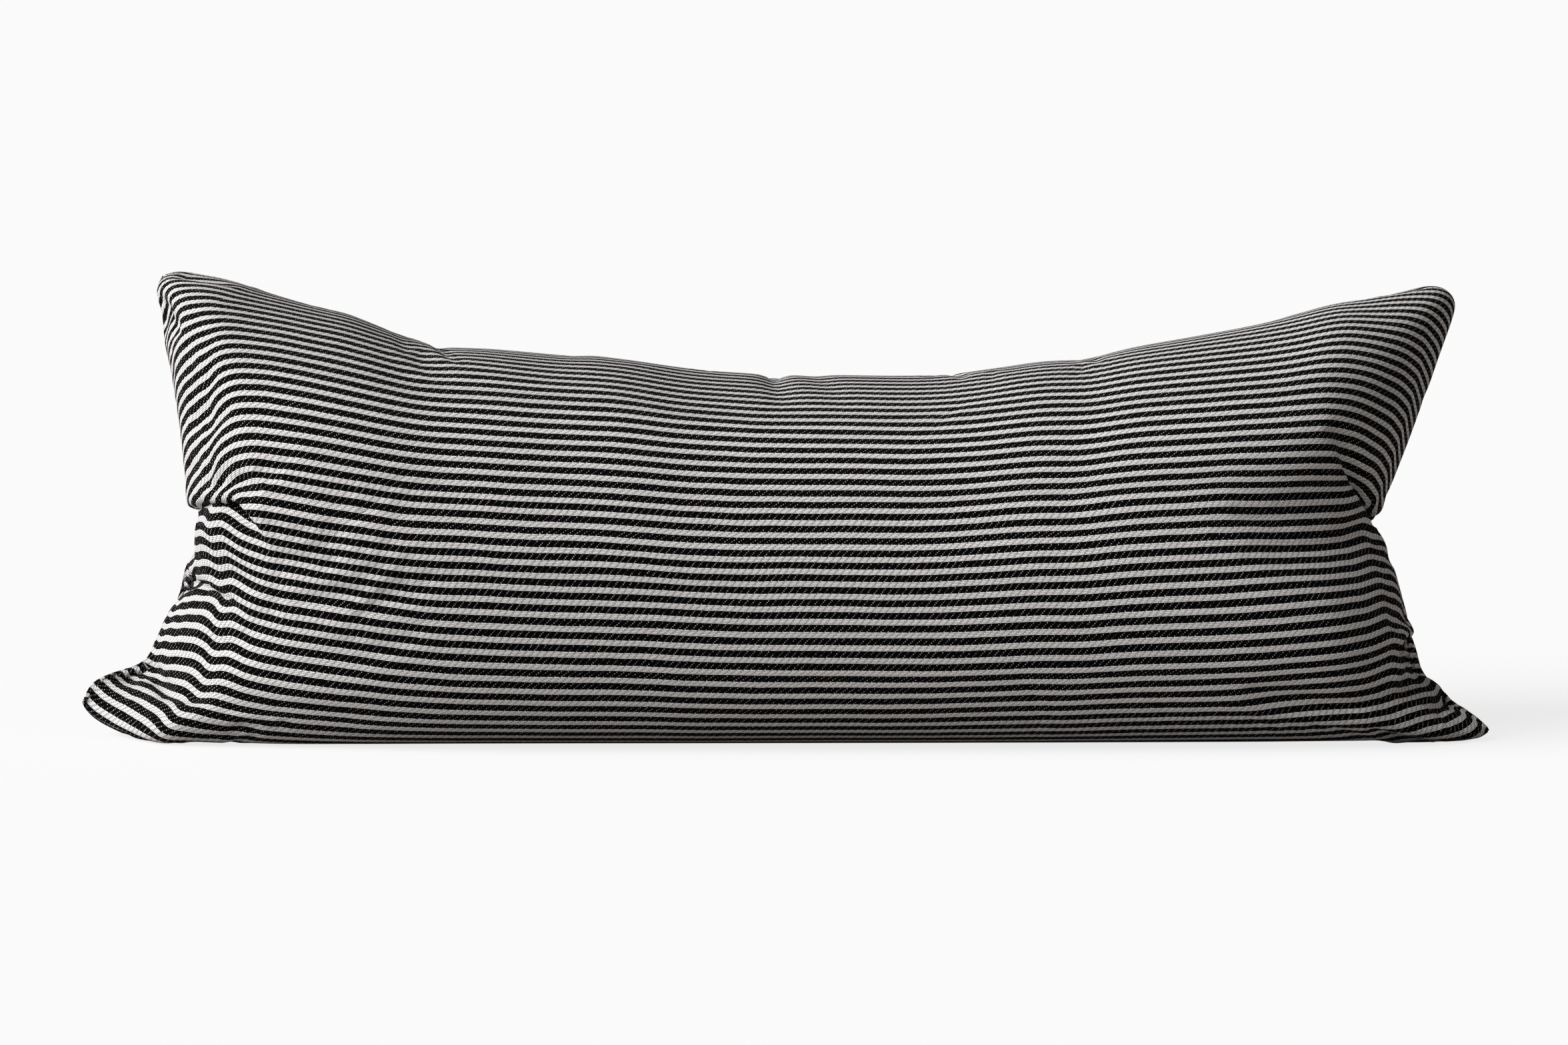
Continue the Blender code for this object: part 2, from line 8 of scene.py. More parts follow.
import bpy
import numpy as np
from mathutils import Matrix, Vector


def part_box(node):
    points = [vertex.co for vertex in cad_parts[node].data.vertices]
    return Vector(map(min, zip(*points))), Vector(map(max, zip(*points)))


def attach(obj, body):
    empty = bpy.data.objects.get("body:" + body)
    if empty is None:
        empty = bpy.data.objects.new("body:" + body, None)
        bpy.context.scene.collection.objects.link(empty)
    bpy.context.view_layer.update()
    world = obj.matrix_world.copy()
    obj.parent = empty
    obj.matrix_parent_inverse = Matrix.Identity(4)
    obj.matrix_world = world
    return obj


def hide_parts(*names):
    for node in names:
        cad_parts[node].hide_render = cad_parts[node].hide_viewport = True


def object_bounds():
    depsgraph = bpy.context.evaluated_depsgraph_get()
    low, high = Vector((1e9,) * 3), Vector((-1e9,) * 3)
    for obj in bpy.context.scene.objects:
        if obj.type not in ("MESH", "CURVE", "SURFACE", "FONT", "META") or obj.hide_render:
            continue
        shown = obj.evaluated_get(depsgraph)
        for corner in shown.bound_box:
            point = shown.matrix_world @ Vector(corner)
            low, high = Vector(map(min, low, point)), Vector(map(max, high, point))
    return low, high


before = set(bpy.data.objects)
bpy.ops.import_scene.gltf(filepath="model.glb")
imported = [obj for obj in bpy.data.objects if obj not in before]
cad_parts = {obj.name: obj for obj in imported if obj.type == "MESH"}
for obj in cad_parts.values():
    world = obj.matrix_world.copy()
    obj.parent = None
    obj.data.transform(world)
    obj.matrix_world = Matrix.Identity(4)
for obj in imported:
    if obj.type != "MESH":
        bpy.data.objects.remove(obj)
cad_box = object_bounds()

# ---------------------------------------------------------------- the pillow's sizes
FLAT_LENGTH = 0.914            # one cover panel, as cut and sewn
FLAT_HEIGHT = 0.406
COLUMNS = 192                  # faces of a panel along and across it
ROWS = 84
FORM_COLUMNS = 600             # faces of the form that the panels are laid on
FORM_ROWS = 300

SEAM_Y = sum(corner.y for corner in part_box("zip_bottom_stop")) / 2.0
FRONT_Y = cad_box[0][1]

# Depths run back from the front of the box, heights run up from the floor.
BOTTOM_SEAM = (SEAM_Y - FRONT_Y, 0.0)
TOP_SEAM = (0.203, 0.221)
TOP_CORNER_SETBACK = 0.042
SETBACK_POWER = 4.0
RISE_POWER = 1.8
EAR_START = 0.87               # share of the length where an ear begins
FRONT_LOW_PULL = (-0.112, -0.020)   # handles of the section curves
FRONT_HIGH_PULL = (-0.232, 0.012)
BACK_LOW_PULL = (0.186, -0.092)
BACK_HIGH_PULL = (0.118, 0.010)

# Left and right: x of the ear's tip and root, the waist and the top corner, the ear's
# setback and lift, the top corner's rise, the share of the height that is the waist, and
# how late and how roundly the pillow thins out towards that side, high up and low down.
SIDES = {
    "tip": (0.462, 0.460), "root": (0.429, 0.413), "waist": (0.383, 0.391),
    "corner": (0.423, 0.450), "setback": (0.042, 0.017), "lift": (0.022, 0.007),
    "ear": (0.083, 0.092), "ear_lift_start": (0.85, 0.93), "bluntness": (3.0, 1.35),
    "rise": (0.078, 0.068), "knee": (0.36, 0.46), "corner_power": (1.5, 0.8),
    "flare_power": (0.75, 1.0),
    "end_power": (13.0, 6.0), "end_roundness": (0.42, 0.65),
    "low_end_power": (6.0, 13.0), "low_end_roundness": (0.85, 0.40),
}
# The top seam's waves: x of the middle, height and half width of each.
TOP_WAVES = ((-0.380, 0.003, 0.018), (-0.240, -0.006, 0.034), (-0.112, 0.004, 0.036),
             (0.105, -0.005, 0.055), (0.200, -0.0035, 0.022), (0.365, 0.004, 0.026))
CORNER_START = 0.955           # share of the length and the height where a tip rounds off
CORNER_ROUND = 0.010
LOW_END = (0.30, 0.55)         # share of the way up where the low end turns into the high end


# ---------------------------------------------------------------- the leaning form
def blend(low, high, share):
    return low + (high - low) * share


def smooth_step(low, high, value):
    share = np.clip((value - low) / (high - low), 0.0, 1.0)
    return share * share * (3.0 - 2.0 * share)


def side_values(name, across):
    left, right = SIDES[name]
    return np.where(across < 0.0, left, right)


def rounding(share, start=CORNER_START):
    """0 up to where a tip rounds off, 1 at its end, along a quarter circle."""
    turn = np.clip((share - start) / (1.0 - start), 0.0, 1.0)
    return 1.0 - np.sqrt(1.0 - turn ** 2)


def side_reach(across, share):
    """Middle to the side seam, at a share of the height from the ear to the top corner."""
    tip, root = side_values("tip", across), side_values("root", across)
    waist, corner = side_values("waist", across), side_values("corner", across)
    knee = side_values("knee", across)
    above = np.clip((share - knee) / (1.0 - knee), 0.0, 1.0)
    below = np.clip((knee - share) / knee, 0.0, 1.0)
    reach = waist + (corner - waist) * above ** side_values("corner_power", across)
    reach += (root - waist) * below ** side_values("flare_power", across)
    reach -= CORNER_ROUND * rounding(share)
    bluntness = side_values("bluntness", across)
    ear = np.clip(share / side_values("ear", across), 0.0, 1.0) ** bluntness
    return reach + (tip - root) * (1.0 - ear) ** (1.0 / bluntness)


def top_wave(x):
    return sum(height * np.exp(-((x - middle) / half) ** 2) for middle, height, half in TOP_WAVES)


def form_points(facing, across, up):
    """Points of the front or the back: across from -1 to 1, up from 0 to 1."""
    far = np.abs(across)
    ear = smooth_step(EAR_START, 1.0, far)
    low = np.stack([BOTTOM_SEAM[0] + side_values("setback", across) * ear,
                    BOTTOM_SEAM[1] + side_values("lift", across)
                    * rounding(far, side_values("ear_lift_start", across))], -1)
    high = np.stack([TOP_SEAM[0] + TOP_CORNER_SETBACK * far ** SETBACK_POWER,
                     TOP_SEAM[1] + side_values("rise", across) * far ** RISE_POWER
                     + top_wave(across * side_values("corner", across))
                     - CORNER_ROUND * rounding(far)], -1)
    pulls = {"front": (FRONT_LOW_PULL, FRONT_HIGH_PULL),
             "back": (BACK_LOW_PULL, BACK_HIGH_PULL)}[facing]
    high_end = smooth_step(*LOW_END, up)
    power, roundness = [
        blend(side_values("low_" + name, across), side_values(name, across), high_end)
        for name in ("end_power", "end_roundness")]
    full = ((1.0 - far ** power) ** roundness)[..., None]
    low_handle = low + np.array(pulls[0]) * full
    high_handle = high + np.array(pulls[1]) * full
    t = up[..., None]
    rest = 1.0 - t
    section = (rest ** 3 * low + 3.0 * rest ** 2 * t * low_handle
               + 3.0 * rest * t ** 2 * high_handle + t ** 3 * high)
    x = across * side_reach(across, smooth_step(0.0, 1.0, up))
    return np.stack([x, section[..., 0] + FRONT_Y, np.maximum(section[..., 1], 0.0)], -1)


def grid_normals(grid, facing):
    """Outward normals of a grid of points, by column and row."""
    normals = np.cross(np.gradient(grid, axis=0), np.gradient(grid, axis=1))
    if facing == "back":
        normals = -normals
    return normals / np.maximum(np.linalg.norm(normals, axis=-1, keepdims=True), 1e-12)


# ---------------------------------------------------------------- folds
VIEW_TILT = math.radians(6.0)  # the folds are placed as seen from this far above


def seen_from_front(points):
    """x and height of points, as they are seen from the front and a little above."""
    depth = points[..., 1] - FRONT_Y - BOTTOM_SEAM[0]
    return np.stack([points[..., 0],
                     points[..., 2] * math.cos(VIEW_TILT) + depth * math.sin(VIEW_TILT)], -1)


def near_path(seen, path):
    """Signed distance above a path of points, and the share of the path's length."""
    path = np.array(path)
    lengths = np.linalg.norm(np.diff(path, axis=0), axis=1)
    starts = np.concatenate([[0.0], np.cumsum(lengths)])
    best = np.full(seen.shape[:-1], np.inf)
    distance = np.zeros_like(best)
    share = np.zeros_like(best)
    for k, length in enumerate(lengths):
        along = (path[k + 1] - path[k]) / length
        across = np.array([-along[1], along[0]])
        if across[1] < 0.0:
            across = -across
        offset = seen - path[k]
        run = np.clip(offset @ along, 0.0, length)
        gap = np.linalg.norm(offset - run[..., None] * along, axis=-1)
        closer = gap < best
        best = np.where(closer, gap, best)
        distance = np.where(closer, gap * np.where(offset @ across < 0.0, -1.0, 1.0), distance)
        share = np.where(closer, (starts[k] + run) / starts[-1], share)
    return distance, share


def add_fold(points, normals, path, depth, width, lip=0.0, overhang=0.0):
    """Tuck the cloth in along a path that runs inwards from the side seam.

    depth and width are the tuck's own, lip is how far the cloth above it stands out,
    and overhang is how far that cloth hangs down over the tuck.
    """
    distance, share = near_path(seen_from_front(points), path)
    fade = 1.0 - share
    tuck = np.exp(-(distance / width) ** 2) * fade
    above = np.exp(-((distance - 1.6 * width) / (1.3 * width)) ** 2) * fade
    points += normals * (lip * above - depth * tuck)[..., None]
    points[..., 2] += depth * 0.5 * tuck - overhang * above


LEFT_FOLDS = (
    dict(path=((-0.400, 0.142), (-0.378, 0.149), (-0.361, 0.148), (-0.347, 0.130),
               (-0.330, 0.108)), depth=0.048, width=0.006, lip=0.003, overhang=0.012),
    dict(path=((-0.404, 0.102), (-0.385, 0.100), (-0.358, 0.086), (-0.332, 0.068)),
         depth=0.014, width=0.007, lip=0.002),
    dict(path=((-0.432, 0.044), (-0.416, 0.046), (-0.404, 0.034), (-0.392, 0.020)),
         depth=0.012, width=0.006, lip=0.003, overhang=0.003),
)
# Puckers along the top seam: a tuck of negative depth stands out.
TOP_FOLDS = (
    dict(path=((-0.010, 0.250), (-0.007, 0.226), (0.000, 0.203)), depth=0.012, width=0.009),
    dict(path=((-0.148, 0.272), (-0.143, 0.250), (-0.138, 0.235)), depth=0.006, width=0.010),
    dict(path=((-0.128, 0.266), (-0.126, 0.245), (-0.120, 0.230)), depth=-0.005, width=0.011),
    dict(path=((-0.298, 0.300), (-0.288, 0.272), (-0.280, 0.250)), depth=-0.007, width=0.013),
    dict(path=((-0.268, 0.290), (-0.256, 0.262), (-0.250, 0.235)), depth=0.006, width=0.011),
    dict(path=((0.010, 0.240), (0.032, 0.214), (0.046, 0.200)), depth=0.004, width=0.007),
    dict(path=((0.140, 0.262), (0.148, 0.240), (0.152, 0.225)), depth=0.003, width=0.012),
    dict(path=((0.398, 0.310), (0.385, 0.290), (0.365, 0.276)), depth=0.006, width=0.006),
)
RIGHT_FOLDS = (
    dict(path=((0.398, 0.130), (0.385, 0.137), (0.374, 0.158), (0.362, 0.196)),
         depth=0.021, width=0.006, lip=0.001, overhang=0.001),
    dict(path=((0.420, 0.050), (0.404, 0.051), (0.406, 0.040), (0.400, 0.026),
               (0.388, 0.012)), depth=0.024, width=0.0055, lip=0.006, overhang=0.002),
    dict(path=((0.452, 0.034), (0.430, 0.026), (0.405, 0.014), (0.380, 0.006)),
         depth=0.014, width=0.0045, lip=0.004, overhang=0.002),
    dict(path=((0.410, 0.108), (0.396, 0.110), (0.380, 0.104)), depth=0.006, width=0.006,
         lip=0.004),
    dict(path=((0.408, 0.122), (0.390, 0.124), (0.372, 0.122)), depth=0.014, width=0.010),
)
SOFT_WIDTH = 0.020             # of the dent that a fold presses into the insert
SOFT_ROOM = 0.012              # the dent keeps this clear of the fold


def soft_dent(fold):
    """The dent that one of the cover's folds presses into the insert."""
    return dict(path=fold["path"], depth=fold["depth"] + SOFT_ROOM, width=SOFT_WIDTH)


# ---------------------------------------------------------------- laying out the cloth
SMOOTHING_ROUNDS = 12          # what the insert takes over from the cover's simulation


def spread_evenly(points, axis, count):
    """The same lines of points, with count equal steps along each."""
    lines = np.moveaxis(points, axis, 0)
    spread = np.empty((count + 1,) + lines.shape[1:])
    for k in range(lines.shape[1]):
        steps = np.linalg.norm(np.diff(lines[:, k], axis=0), axis=1)
        place = np.concatenate([[0.0], np.cumsum(steps)])
        wanted = np.linspace(0.0, place[-1], count + 1)
        for c in range(3):
            spread[:, k, c] = np.interp(wanted, place, lines[:, k, c])
    return np.moveaxis(spread, 0, axis)


def lay_panel(facing, folds):
    """The panel's points on the form, spaced as evenly as in the flat cloth."""
    across, up = np.meshgrid(np.linspace(-1.0, 1.0, FORM_COLUMNS + 1),
                             np.linspace(0.0, 1.0, FORM_ROWS + 1), indexing="ij")
    points = form_points(facing, across, up)
    if facing == "front":
        for fold in folds:
            add_fold(points, grid_normals(points, facing), **fold)
    points[..., 2] = np.maximum(points[..., 2], 0.0)
    for _ in range(3):
        points = spread_evenly(points, 1, ROWS)
        points = spread_evenly(points, 0, COLUMNS)
    return points


def smoothed(grid):
    """The grid with every inner point at the mean of its surroundings, many times over."""
    for _ in range(SMOOTHING_ROUNDS):
        for axis in (0, 1):
            lines = np.moveaxis(grid, axis, 0).copy()
            lines[1:-1] = (lines[:-2] + 2.0 * lines[1:-1] + lines[2:]) / 4.0
            grid = np.moveaxis(lines, 0, axis)
    return grid


def sew(front, back):
    """Both panels meet along their border."""
    for edge in ((0, slice(None)), (-1, slice(None)), (slice(None), 0), (slice(None), -1)):
        middle = (front[edge] + back[edge]) / 2.0
        front[edge] = middle
        back[edge] = middle


def flat_points(shape):
    """Place of every point of a panel's grid in the flat cloth."""
    return np.stack(np.meshgrid(np.linspace(0.0, FLAT_LENGTH, shape[0]),
                                np.linspace(0.0, FLAT_HEIGHT, shape[1]), indexing="ij"), -1)


def edge_gaps(flat):
    """How far each flat place lies from the nearer end and the nearer long edge."""
    return np.moveaxis(np.minimum(flat, (FLAT_LENGTH, FLAT_HEIGHT) - flat), -1, 0)


def quads(ids):
    return np.stack([ids[:-1, :-1], ids[1:, :-1], ids[1:, 1:], ids[:-1, 1:]], -1).reshape(-1, 4)


def closed_surface(front, back):
    """Points and faces of two grids joined at their border, and a mask of the inner points."""
    shape = front.shape[:2]
    inner = np.zeros(shape, bool)
    inner[1:-1, 1:-1] = True
    front_ids = np.arange(inner.size).reshape(shape)
    back_ids = front_ids.copy()
    back_ids[inner] = inner.size + np.arange(inner.sum())
    points = np.concatenate([front.reshape(-1, 3), back[inner]])
    faces = np.concatenate([quads(front_ids), quads(back_ids)[:, ::-1]])
    return points, faces, inner


def add_object(name, data):
    item = bpy.data.objects.new(name, data)
    bpy.context.scene.collection.objects.link(item)
    return item


# ---------------------------------------------------------------- cloth simulation
CLOTH_SLACK = 1.01             # the sewn cloth gives this much under the fill
SIMULATION_FRAMES = 22
SEAM_HOLD = 0.012              # how firmly the form holds the cloth, by place
MIDDLE_HOLD = 0.05
HOLD_MARGIN = 0.08
CORNER_HOLD = 1.0
CORNER_MARGIN = 0.06
ZIP_HOLD_REACH = 0.43          # the seam is held in place up to here, along the zip
GREATEST_MOVE = 0.016          # the simulation moves no point further than this
CLOTH_SETTINGS = dict(
    quality=6, mass=0.3, tension_stiffness=40.0, compression_stiffness=20.0,
    shear_stiffness=3.0, bending_stiffness=0.3, use_pressure=True,
    uniform_pressure_force=4.0, vertex_group_mass="hold", pin_stiffness=0.2)


def simulate(front, back):
    """Let the sewn cover swell and pucker around its form, and give back both panels."""
    shape = front.shape[:2]
    points, faces, inner = closed_surface(front, back)
    mesh = bpy.data.meshes.new("cover_simulation")
    mesh.from_pydata(points.tolist(), [], faces.tolist())
    cover = add_object("cover_simulation", mesh)

    cloth_places = flat_points(shape)
    along, height = np.moveaxis(cloth_places, -1, 0)
    flat = np.stack([along, np.zeros(shape), height], -1) * CLOTH_SLACK
    cover.shape_key_add(name="laid")
    cut = cover.shape_key_add(name="cut")
    cut.data.foreach_set("co", np.concatenate([flat.reshape(-1, 3), flat[inner]]).ravel())

    gaps = edge_gaps(cloth_places)
    hold = blend(SEAM_HOLD, MIDDLE_HOLD, np.clip(gaps.min(0) / HOLD_MARGIN, 0.0, 1.0))
    hold = blend(CORNER_HOLD, hold, np.clip(np.hypot(*gaps) / CORNER_MARGIN, 0.0, 1.0))
    zipped = (height < 0.5 * FLAT_HEIGHT / ROWS) & (np.abs(front[..., 0]) < ZIP_HOLD_REACH)
    hold = np.where(zipped, 1.0, hold)
    holds = np.round(np.concatenate([hold.ravel(), hold[inner]]), 3)
    group = cover.vertex_groups.new(name="hold")
    for value in np.unique(holds):
        group.add(np.flatnonzero(holds == value).tolist(), float(value), "REPLACE")

    cloth = cover.modifiers.new("cloth", "CLOTH")
    settings = cloth.settings
    for setting, value in CLOTH_SETTINGS.items():
        setattr(settings, setting, value)
    settings.rest_shape_key = cut
    settings.effector_weights.gravity = 0.0
    cloth.collision_settings.use_collision = True
    cloth.collision_settings.distance_min = 0.001
    cloth.point_cache.frame_end = SIMULATION_FRAMES

    bpy.ops.mesh.primitive_plane_add(size=3.0, location=(0.0, 0.0, -0.003))
    ground = bpy.context.object
    ground.modifiers.new("collision", "COLLISION")
    ground.collision.thickness_outer = 0.001
    for number in range(1, SIMULATION_FRAMES + 1):
        bpy.context.scene.frame_set(number)
    evaluated = cover.evaluated_get(bpy.context.evaluated_depsgraph_get())
    moved = np.empty(len(points) * 3, np.float32)
    evaluated.data.vertices.foreach_get("co", moved)
    step = moved.reshape(-1, 3).astype(float) - points
    bpy.data.objects.remove(cover)
    bpy.data.objects.remove(ground)
    bpy.context.scene.frame_set(1)

    length = np.linalg.norm(step, axis=1, keepdims=True)
    points = points + step * np.minimum(1.0, GREATEST_MOVE / np.maximum(length, 1e-9))
    points[:, 2] = np.maximum(points[:, 2], 0.0)
    swollen_front = points[:inner.size].reshape(*shape, 3)
    swollen_back = swollen_front.copy()
    swollen_back[inner] = points[inner.size:]
    return swollen_front, swollen_back


# ---------------------------------------------------------------- materials
def feed(tree, slot, value):
    """Give a node's slot a plain number or a field."""
    if isinstance(value, Field):
        tree.links.new(value.socket, slot)
    else:
        slot.default_value = value


class Field:
    """A number that a material works out at each point, written with plain arithmetic."""

    def __init__(self, tree, socket):
        self.tree = tree
        self.socket = socket

    def math(self, operation, *others):
        node = self.tree.nodes.new("ShaderNodeMath")
        node.operation = operation
        for slot, value in zip(node.inputs, (self, *others)):
            feed(self.tree, slot, value)
        return Field(self.tree, node.outputs[0])

    def __add__(self, other):
        return self.math("ADD", other)

    def __sub__(self, other):
        return self.math("SUBTRACT", other)

    def __mul__(self, other):
        return self.math("MULTIPLY", other)

    def __truediv__(self, other):
        return self.math("DIVIDE", other)

    def inverted(self):
        return (self * -1.0) + 1.0

    def fract(self):
        return self.math("FRACT")

    def floor(self):
        return self.math("FLOOR")

    def modulo(self, other):
        return self.math("FLOORED_MODULO", other)

    def absolute(self):
        return self.math("ABSOLUTE")

    def wave(self):
        return self.math("SINE")

    def ramp(self, low, high):
        """0 below low, 1 above high, smooth in between."""
        node = self.tree.nodes.new("ShaderNodeMapRange")
        node.interpolation_type = "SMOOTHSTEP"
        node.inputs["From Min"].default_value = low
        node.inputs["From Max"].default_value = high
        self.tree.links.new(self.socket, node.inputs["Value"])
        return Field(self.tree, node.outputs["Result"])


class Finish:
    """A Principled material that is put together from fields."""

    def __init__(self, name, roughness=0.8, metallic=0.0, sheen=0.0):
        self.material = bpy.data.materials.new(name)
        self.material.use_nodes = True
        self.tree = self.material.node_tree
        self.shader = self.tree.nodes["Principled BSDF"]
        self.shader.inputs["Roughness"].default_value = roughness
        self.shader.inputs["Metallic"].default_value = metallic
        self.shader.inputs["Sheen Weight"].default_value = sheen

    def millimetres(self, place, axes):
        split = self.tree.nodes.new("ShaderNodeSeparateXYZ")
        self.tree.links.new(place, split.inputs[0])
        return [Field(self.tree, split.outputs[k]) * 1000.0 for k in range(axes)]

    def cloth_place(self):
        """Millimetres along and up the flat cloth."""
        uv = self.tree.nodes.new("ShaderNodeUVMap")
        uv.uv_map = "cloth"
        return self.millimetres(uv.outputs["UV"], 2)

    def object_place(self):
        """Millimetres along the object's own axes."""
        return self.millimetres(self.tree.nodes.new("ShaderNodeTexCoord").outputs["Object"], 3)

    def vector(self, *fields):
        join = self.tree.nodes.new("ShaderNodeCombineXYZ")
        for slot, field in zip(join.inputs, fields):
            feed(self.tree, slot, field)
        return join.outputs[0]

    def noise(self, place, scale=1.0, detail=2.0):
        """Smooth noise around 0.5, with a feature size of 1 / scale."""
        node = self.tree.nodes.new("ShaderNodeTexNoise")
        node.inputs["Scale"].default_value = scale
        node.inputs["Detail"].default_value = detail
        self.tree.links.new(place, node.inputs["Vector"])
        return Field(self.tree, node.outputs[0])

    def random(self, place):
        """A random number from 0 to 1 for each whole place."""
        node = self.tree.nodes.new("ShaderNodeTexWhiteNoise")
        self.tree.links.new(place, node.inputs["Vector"])
        return Field(self.tree, node.outputs["Value"])

    def mix(self, first, second, share):
        """A colour between two colours, each given as numbers or as a socket."""
        node = self.tree.nodes.new("ShaderNodeMix")
        node.data_type = "RGBA"
        self.tree.links.new(share.socket, node.inputs["Factor"])
        for slot, colour in ((node.inputs[6], first), (node.inputs[7], second)):
            if isinstance(colour, tuple):
                slot.default_value = (*colour, 1.0)
            else:
                self.tree.links.new(colour, slot)
        return node.outputs[2]

    def colour(self, socket):
        self.tree.links.new(socket, self.shader.inputs["Base Color"])

    def roughness(self, field):
        self.tree.links.new(field.socket, self.shader.inputs["Roughness"])

    def bump(self, height, distance, strength=1.0):
        node = self.tree.nodes.new("ShaderNodeBump")
        node.inputs["Distance"].default_value = distance
        node.inputs["Strength"].default_value = strength
        self.tree.links.new(height.socket, node.inputs["Height"])
        self.tree.links.new(node.outputs[0], self.shader.inputs["Normal"])


PICK = 1.0625                  # millimetres from one weft thread to the next
WARP = 1.08                    # and from one warp thread to the next
STRIPE_PICKS = 4.0             # weft threads in a black or a white stripe
BLACK_SHARE = 0.565            # of a repeat: the black threads are packed less tightly
TWILL_REPEAT = 4.0             # each warp thread shows over one weft thread in four


def striped_twill():
    """Weft-faced twill: black and off-white weft stripes, with an off-white warp."""
    finish = Finish("striped_twill", roughness=0.95, sheen=0.01)
    finish.shader.inputs["Specular IOR Level"].default_value = 0.02
    along, up = finish.cloth_place()
    drift = finish.noise(finish.vector(along * 0.02, up * 0.02, 0.0)) - 0.5
    wobble = finish.noise(finish.vector(along * 0.25, up * 0.5, 3.0)) - 0.5
    pick = (up + drift * 1.6 + wobble * 0.5) / PICK
    lean = finish.noise(finish.vector(along * 0.3, up * 0.2, 9.0)) - 0.5
    warp = (along + lean * 0.6) / WARP
    pick_number, warp_number = pick.floor(), warp.floor()
    across_pick = (pick.fract() - 0.5) * 2.0
    across_warp = (warp.fract() - 0.5) * 2.0
    white_stripe = (pick / (2.0 * STRIPE_PICKS)).fract().math("GREATER_THAN", BLACK_SHARE)
    warp_on_top = (warp_number - pick_number).modulo(TWILL_REPEAT).math("LESS_THAN", 0.5)

    float_dip = (warp_number - pick_number + warp.fract()).modulo(TWILL_REPEAT) - 0.5
    spot = across_pick * across_pick * 1.1 + across_warp * across_warp * 1.7
    speck = spot.ramp(0.3, 1.0).inverted() * warp_on_top
    yarn_tone = finish.random(finish.vector(pick_number, 0.0, 0.0))
    warp_tone = finish.random(finish.vector(warp_number, pick_number, 5.0))
    fibres = finish.noise(finish.vector(along * 0.9, up * 6.0, 0.0), detail=3.0)
    slub = finish.noise(finish.vector(along * 0.05, pick_number * 0.7, 0.0))

    white = finish.mix((0.78, 0.765, 0.77), (0.96, 0.94, 0.92), yarn_tone)
    white = finish.mix(white, (0.80, 0.80, 0.76), slub.ramp(0.35, 0.75) * 0.5)
    white = finish.mix((0.60, 0.58, 0.57), white, fibres.ramp(0.25, 0.6))
    # Painted shade, as if the yarns shadowed each other: the white weft darkens towards a dark
    # grey in the gaps between picks and where each float dips under a warp.
    gap = across_pick.absolute().ramp(0.6, 1.05)
    shaded_dip = float_dip.absolute().ramp(0.3, 0.9).inverted() * speck.inverted()
    white = finish.mix(white, (0.16, 0.153, 0.15), (gap * 0.75).math("MAXIMUM", shaded_dip * 0.95))
    black = finish.mix((0.0004, 0.0003, 0.0003), (0.003, 0.0024, 0.0026), fibres.ramp(0.3, 0.7))
    weft = finish.mix(black, white, white_stripe)
    speck_colour = finish.mix((0.015, 0.015, 0.015), (0.50, 0.48, 0.47), warp_tone)
    speck_colour = finish.mix(speck_colour, white, white_stripe * 0.7)
    finish.colour(finish.mix(weft, speck_colour, speck))

    crown = (across_pick * across_pick).inverted()
    height = crown * 0.7 + speck * 0.5 + fibres * 0.18 - shaded_dip * 0.25
    finish.bump(height, 0.0005, 0.9)
    return finish.material


def plain_weave(name, colour, pitch, sheen=0.1):
    """A fine plain weave, such as sheeting, tape or satin."""
    finish = Finish(name, roughness=0.85, sheen=sheen)
    along, up = finish.cloth_place()
    warp = (along / pitch * math.pi).wave()
    weft = (up / pitch * math.pi).wave()
    checks = warp * weft
    mottle = finish.noise(finish.vector(along, up, 0.0), 0.15, 3.0)
    dark = tuple(0.8 * value for value in colour)
    tint = finish.mix(dark, colour, mottle.ramp(0.3, 0.7))
    # Painted shade: darker lines in the grooves between the threads. The mottle above is random
    # tone.
    finish.colour(finish.mix(dark, tint, (checks * checks).ramp(0.0, 0.3)))
    finish.bump(checks * checks + mottle * 0.3, 0.0002, 0.7)
    return finish.material


def woven_tape(name, colour):
    """Polyester zip tape: a herringbone weave, across and along."""
    finish = Finish(name, roughness=0.75, sheen=0.15)
    x, y, z = finish.object_place()
    ribs = ((x + y.math("PINGPONG", 2.0)) * 5.0).wave()
    tone = finish.noise(finish.vector(x, y, z), 0.5, 3.0)
    dark = tuple(0.5 * value for value in colour)
    # Painted shade in the troughs of the herringbone ribs, mixed with random tone from the noise.
    finish.colour(finish.mix(dark, colour, (ribs * 0.3 + tone).ramp(0.15, 0.8)))
    finish.bump(ribs + tone, 0.0001, 0.8)
    return finish.material


def spun_thread(name, colour):
    """Sewing thread with a twist."""
    finish = Finish(name, roughness=0.7, sheen=0.2)
    x, y, z = finish.object_place()
    twist = ((x + y * 1.3 + z * 1.3) * 2.2).wave()
    tone = finish.noise(finish.vector(x, y, z), 0.8)
    dark = tuple(0.6 * value for value in colour)
    # Painted shade in the grooves of the twist, mixed with random tone from the noise.
    finish.colour(finish.mix(dark, colour, (twist * 0.4 + tone).ramp(0.1, 0.8)))
    finish.bump(twist, 0.0001, 0.8)
    return finish.material


def brushed_metal(name, colour):
    """Cast zinc with a dark plated finish and small wear marks."""
    finish = Finish(name, roughness=0.35, metallic=1.0)
    x, y, z = finish.object_place()
    grain = finish.noise(finish.vector(x * 0.6, y * 8.0, z * 8.0), 1.0, 4.0)
    wear = finish.noise(finish.vector(x, y, z), 0.7, 3.0)
    bright = tuple(min(1.0, 1.5 * value) for value in colour)
    finish.colour(finish.mix(colour, bright, wear.ramp(0.5, 0.75)))
    finish.roughness(grain * 0.25 + 0.25)
    finish.bump(grain, 0.00005, 0.5)
    return finish.material


